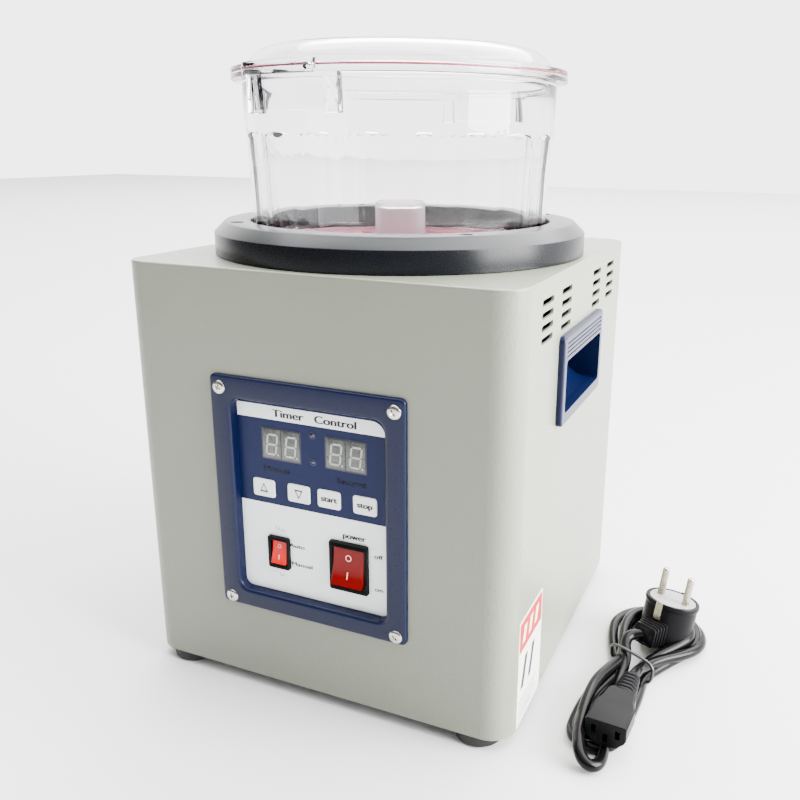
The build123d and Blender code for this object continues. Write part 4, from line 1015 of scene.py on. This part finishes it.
def make_keys():
    keys = {"key_up": (-32.8, 137.2), "key_down": (-8.7, 137.4), "key_start": (11.7, 137.6),
            "key_stop": (35.1, 137.9)}
    for name, (x, z) in keys.items():
        def cap(work, x=x, z=z):
            steps = [(0, -119.8), (0, -121.55), (0.12, -121.82), (0.4, -121.95), (0.9, -122.0),
                     (3.2, -121.93)]
            loft(work, [front_ring(7.6 - o, 5.6 - o, max(0.4, 1.7 - o * 0.5), y, x, z) for o, y in steps])

        piece = printed(name + "_cap", cap, MATERIALS["key_white"], name)
        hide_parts(name)
        if name in ("key_up", "key_down"):
            direction = 1 if name == "key_up" else -1
            printed(name + "_mark",
                    lambda work, x=x, z=z, d=direction: triangle(work, x, z, d, -121.85, -122.04),
                    PRINT_BLACK, name)
        else:
            word = name.split("_")[1]
            mesh = text_mesh(word, 4.9, x, z + 0.1, -121.99, 0.28, 0.05, 1.15)
            add_piece(name + "_mark", mesh, PRINT_BLACK, name)


def make_captions():
    words = [("Minute", 4.6, -23.4, 150.0, 0.16, PRINT_DARK_BLUE, 1.45),
             ("Second", 4.6, 26.4, 150.2, 0.16, PRINT_DARK_BLUE, 1.45),
             ("power", 5.0, 27.4, 116.6, 0.24, PRINT_BLACK, 1.15),
             ("off", 3.7, 43.0, 107.2, 0.12, PRINT_BLACK, 1.4),
             ("on", 3.7, 43.2, 86.2, 0.12, PRINT_BLACK, 1.4),
             ("Auto", 3.5, -11.6, 102.6, 0.12, PRINT_BLACK, 1.5),
             ("Manual", 3.5, -8.6, 90.6, 0.12, PRINT_BLACK, 1.5),
             ("Timer   Control", 6.4, 3.0, 185.0, 0.34, PRINT_BLACK, 1.32)]
    for text, size, x, z, bold, material, stretch in words:
        mesh = text_mesh(text, size, x, z, FILM - 0.1, bold, 0.03, stretch)
        add_piece("caption_" + text.split()[0].lower(), mesh, material, "root")


def turn_marks(work):
    """Small curled marks above and below the mode switch."""
    for (x, z), radius, start, end in (((-24.6, 112.6), 1.3, 150, 400), ((-21.4, 110.4), 1.2, 330, 560),
                                       ((-23.2, 81.6), 1.2, 140, 380)):
        ribbon(work, arc((x, z), radius, start, end, 18), 0.4, FILM + 0.01, FILM - 0.05)


def make_print():
    printed("blue_field", blue_field, PRINT_BLUE)
    printed("title_strip", title_strip, MATERIALS["overlay_film"])
    printed("turn_marks", turn_marks, PRINT_GREY)


# ------------------------------------------------------------------ rocker switches

ROCKERS = {"mode": (-23.9, 96.5, 15.0, 21.0, 10.6, 15.2, 3.4),
           "power": (24.1, 97.0, 25.5, 31.5, 20.4, 23.4, 4.6)}


def rocker_face(peak, z):
    """Depth of the rocker's shallow valley at a height on it."""
    return -peak - 59.0 + math.sqrt(3600 - z * z)


def make_rocker(name):
    x, z, width, height, cap_w, cap_h, peak = ROCKERS[name]
    half = cap_h / 2
    well_w, well_h = cap_w / 2 + 0.4, cap_h / 2 + 0.4

    def bezel(work):
        y = FILM - 1.8
        outside = [(0.0, FILM + 0.02), (0.0, y + 1.0), (0.5, y + 0.25), (1.1, y)]
        rings = [front_ring(width / 2 - o, height / 2 - o, max(0.5, 1.4 - o * 0.6), d, x, z)
                 for o, d in outside]
        inside = [(0.5, y), (0.12, y + 0.15), (0.0, y + 0.6), (0.0, FILM + 3.0)]
        rings += [front_ring(well_w + o, well_h + o, 0.6 + o, d, x, z) for o, d in inside]
        rings.append(front_ring(well_w + 1.2, well_h + 1.2, 1.6, FILM + 3.0, x, z))
        rings.append(front_ring(well_w + 1.2, well_h + 1.2, 1.6, FILM + 0.02, x, z))
        loft(work, rings, closed=True)

    printed(name + "_bezel", bezel, MATERIALS["black_plastic"])

    place = (Matrix.Translation((x, -119.8, z)) @ Matrix.Rotation(math.radians(-11.0), 4, "X"))
    face = []
    for i in range(25):
        level = -half + cap_h * i / 24
        face.append((rocker_face(peak, level), level))
    back = [(2.4, half - 1.2), (5.5, 3.0), (5.5, -3.0), (2.4, -half + 1.2)]
    outline = face + back
    middle = Vector((0.5, 0.0))

    def section(across, inset):
        points = []
        for y, level in outline:
            way = Vector((y, level)) - middle
            way *= 1 - inset / way.length
            points.append((across, middle.x + way.x, middle.y + way.y))
        return points

    def cap(work):
        steps = [(-cap_w / 2, 0.7), (-cap_w / 2 + 0.12, 0.3), (-cap_w / 2 + 0.45, 0.05),
                 (-cap_w / 2 + 0.9, 0.0)]
        rings = [section(u, i) for u, i in steps] + [section(-u, i) for u, i in reversed(steps)]
        loft(work, rings, matrix=place)

    def on_face(points, lift):
        return [place @ Vector((u, rocker_face(peak, v) - lift, v)) for u, v in points]

    def marks(work):
        up, size = (half * 0.46, half * 0.17)
        ring = [(r * math.cos(2 * math.pi * i / 32), up + r * math.sin(2 * math.pi * i / 32))
                for r in (size,) for i in range(32)]
        small = [(u * 0.72, up + (v - up) * 0.72) for u, v in ring]
        loft(work, [on_face(ring, -0.15), on_face(ring, 0.05), on_face(small, 0.05), on_face(small, -0.15)],
             closed=True)
        bar = [(-0.35, -half * 0.25), (0.35, -half * 0.25), (0.35, -half * 0.62), (-0.35, -half * 0.62)]
        loft(work, [on_face(bar, -0.15), on_face(bar, 0.05)])

    red = ROCKER_RED_BRIGHT if name == "mode" else MATERIALS["rocker_red"]
    piece = printed(name + "_rocker_cap", cap, red, name + "_rocker")
    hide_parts(name + "_rocker")
    printed(name + "_rocker_marks", marks, MARK_PINK, name + "_rocker")


make_panel_frame()
make_panel_screws()
make_print()
make_displays()
make_lamps()
make_keys()
make_captions()
for switch in ROCKERS:
    make_rocker(switch)


# ------------------------------------------------------------------ sides

def side_prism(work, outline, low, high):
    """A prism on the right wall from an outline of (y, z) points."""
    loft(work, [[(low, y, z) for y, z in outline], [(high, y, z) for y, z in outline]])


def make_label():
    """Plain coloured label: a red head, a dark block and rows of short bars."""
    base = lambda work: side_prism(work, [(-86 + u, 42 + v) for u, v in rounded(22.5, 35.0, 1.5, 5)],
                                   125.0, 125.16)
    film = printed("label_base", base, MATERIALS["label_film"])
    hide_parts("side_label")

    def red_head(work):
        outline = [(-86 + u, 66 + v) for u, v in rounded(21.3, 9.6, 1.0, 4)]
        side_prism(work, outline, 125.1, 125.22)

    def bars(work):
        for row, reach in enumerate((17.0, 15.5, 17.0, 12.0)):
            z = 22.0 - row * 3.4
            outline = [(-105.5, z), (-105.5 + 2 * reach, z),
                       (-105.5 + 2 * reach, z + 1.1), (-105.5, z + 1.1)]
            side_prism(work, outline, 125.1, 125.2)

    def chevron(work):
        for shift in (0.0, 14.0):
            outline = [(-103 + shift, 30), (-97.5 + shift, 30), (-90.5 + shift, 50), (-96 + shift, 50)]
            side_prism(work, outline, 125.1, 125.2)

    def head_bars(work):
        for shift in (0.0, 11.5, 23.0):
            outline = [(-102.5 + shift, 61), (-97.5 + shift, 61), (-94.0 + shift, 71), (-99.0 + shift, 71)]
            side_prism(work, outline, 125.15, 125.26)

    printed("label_head", red_head, PRINT_RED)
    printed("label_rows", bars, PRINT_GREY)
    printed("label_block", chevron, PRINT_BLACK)
    printed("label_stripes", head_bars, MATERIALS["label_film"])


make_label()
for handle in ("right_cup_handle", "left_cup_handle"):
    soften_edges(handle, 0.5)


# ------------------------------------------------------------------ stage and light

def make_stage():
    material, _, shader = nodes_of("floor_white")
    shader.inputs["Base Color"].default_value = (0.5, 0.5, 0.5, 1)
    shader.inputs["Roughness"].default_value = 0.65
    work = bmesh.new()
    bmesh.ops.create_grid(work, x_segments=1, y_segments=1, size=6.0)
    mesh = bpy.data.meshes.new("floor")
    work.to_mesh(mesh)
    work.free()
    mesh.materials.append(material)
    floor = bpy.data.objects.new("floor", mesh)
    scene.collection.objects.link(floor)


def make_world():
    """White studio: bright behind, overhead and to the right, dimmer in front and to the left."""
    world = bpy.data.worlds.new("studio")
    scene.world = world
    world.use_nodes = True
    tree = world.node_tree
    background = tree.nodes["Background"]
    place = tree.nodes.new("ShaderNodeTexCoord")
    axes = tree.nodes.new("ShaderNodeSeparateXYZ")
    tree.links.new(place.outputs["Generated"], axes.inputs[0])
    total = None
    for axis, low, high, gain in (("Y", -0.05, 0.5, 4.2), ("X", 0.1, 0.9, 0.3), ("Z", 0.45, 0.95, 2.6)):
        ramp = tree.nodes.new("ShaderNodeMapRange")
        ramp.interpolation_type = "SMOOTHSTEP"
        ramp.inputs["From Min"].default_value = low
        ramp.inputs["From Max"].default_value = high
        ramp.inputs["To Min"].default_value = 0.0
        ramp.inputs["To Max"].default_value = gain
        tree.links.new(axes.outputs[axis], ramp.inputs["Value"])
        if total is None:
            total = ramp.outputs["Result"]
            continue
        add = tree.nodes.new("ShaderNodeMath")
        add.operation = "ADD"
        tree.links.new(total, add.inputs[0])
        tree.links.new(ramp.outputs["Result"], add.inputs[1])
        total = add.outputs[0]
    base = tree.nodes.new("ShaderNodeMath")
    base.operation = "ADD"
    base.inputs[1].default_value = 0.22
    tree.links.new(total, base.inputs[0])
    tree.links.new(base.outputs[0], background.inputs["Strength"])
    background.inputs["Color"].default_value = (1.0, 1.0, 1.0, 1)


def area_light(name, place, aim, size, energy):
    data = bpy.data.lights.new(name, "AREA")
    data.shape = "RECTANGLE"
    data.size, data.size_y = size
    data.energy = energy
    lamp = bpy.data.objects.new(name, data)
    lamp.location = place
    lamp.rotation_euler = (Vector(aim) - Vector(place)).to_track_quat("-Z", "Y").to_euler()
    scene.collection.objects.link(lamp)


make_stage()
make_world()
area_light("right_box", (1.7, 0.0, 0.8), (0.1, 0, 0.15), (1.2, 1.2), 270.0)
area_light("top_box", (0.3, 2.7, 3.8), (0.3, 2.71, 0.0), (7.0, 7.0), 1700.0)
area_light("front_left_box", (-1.5, -1.6, 1.2), (0, 0, 0.2), (0.9, 0.9), 1.2)
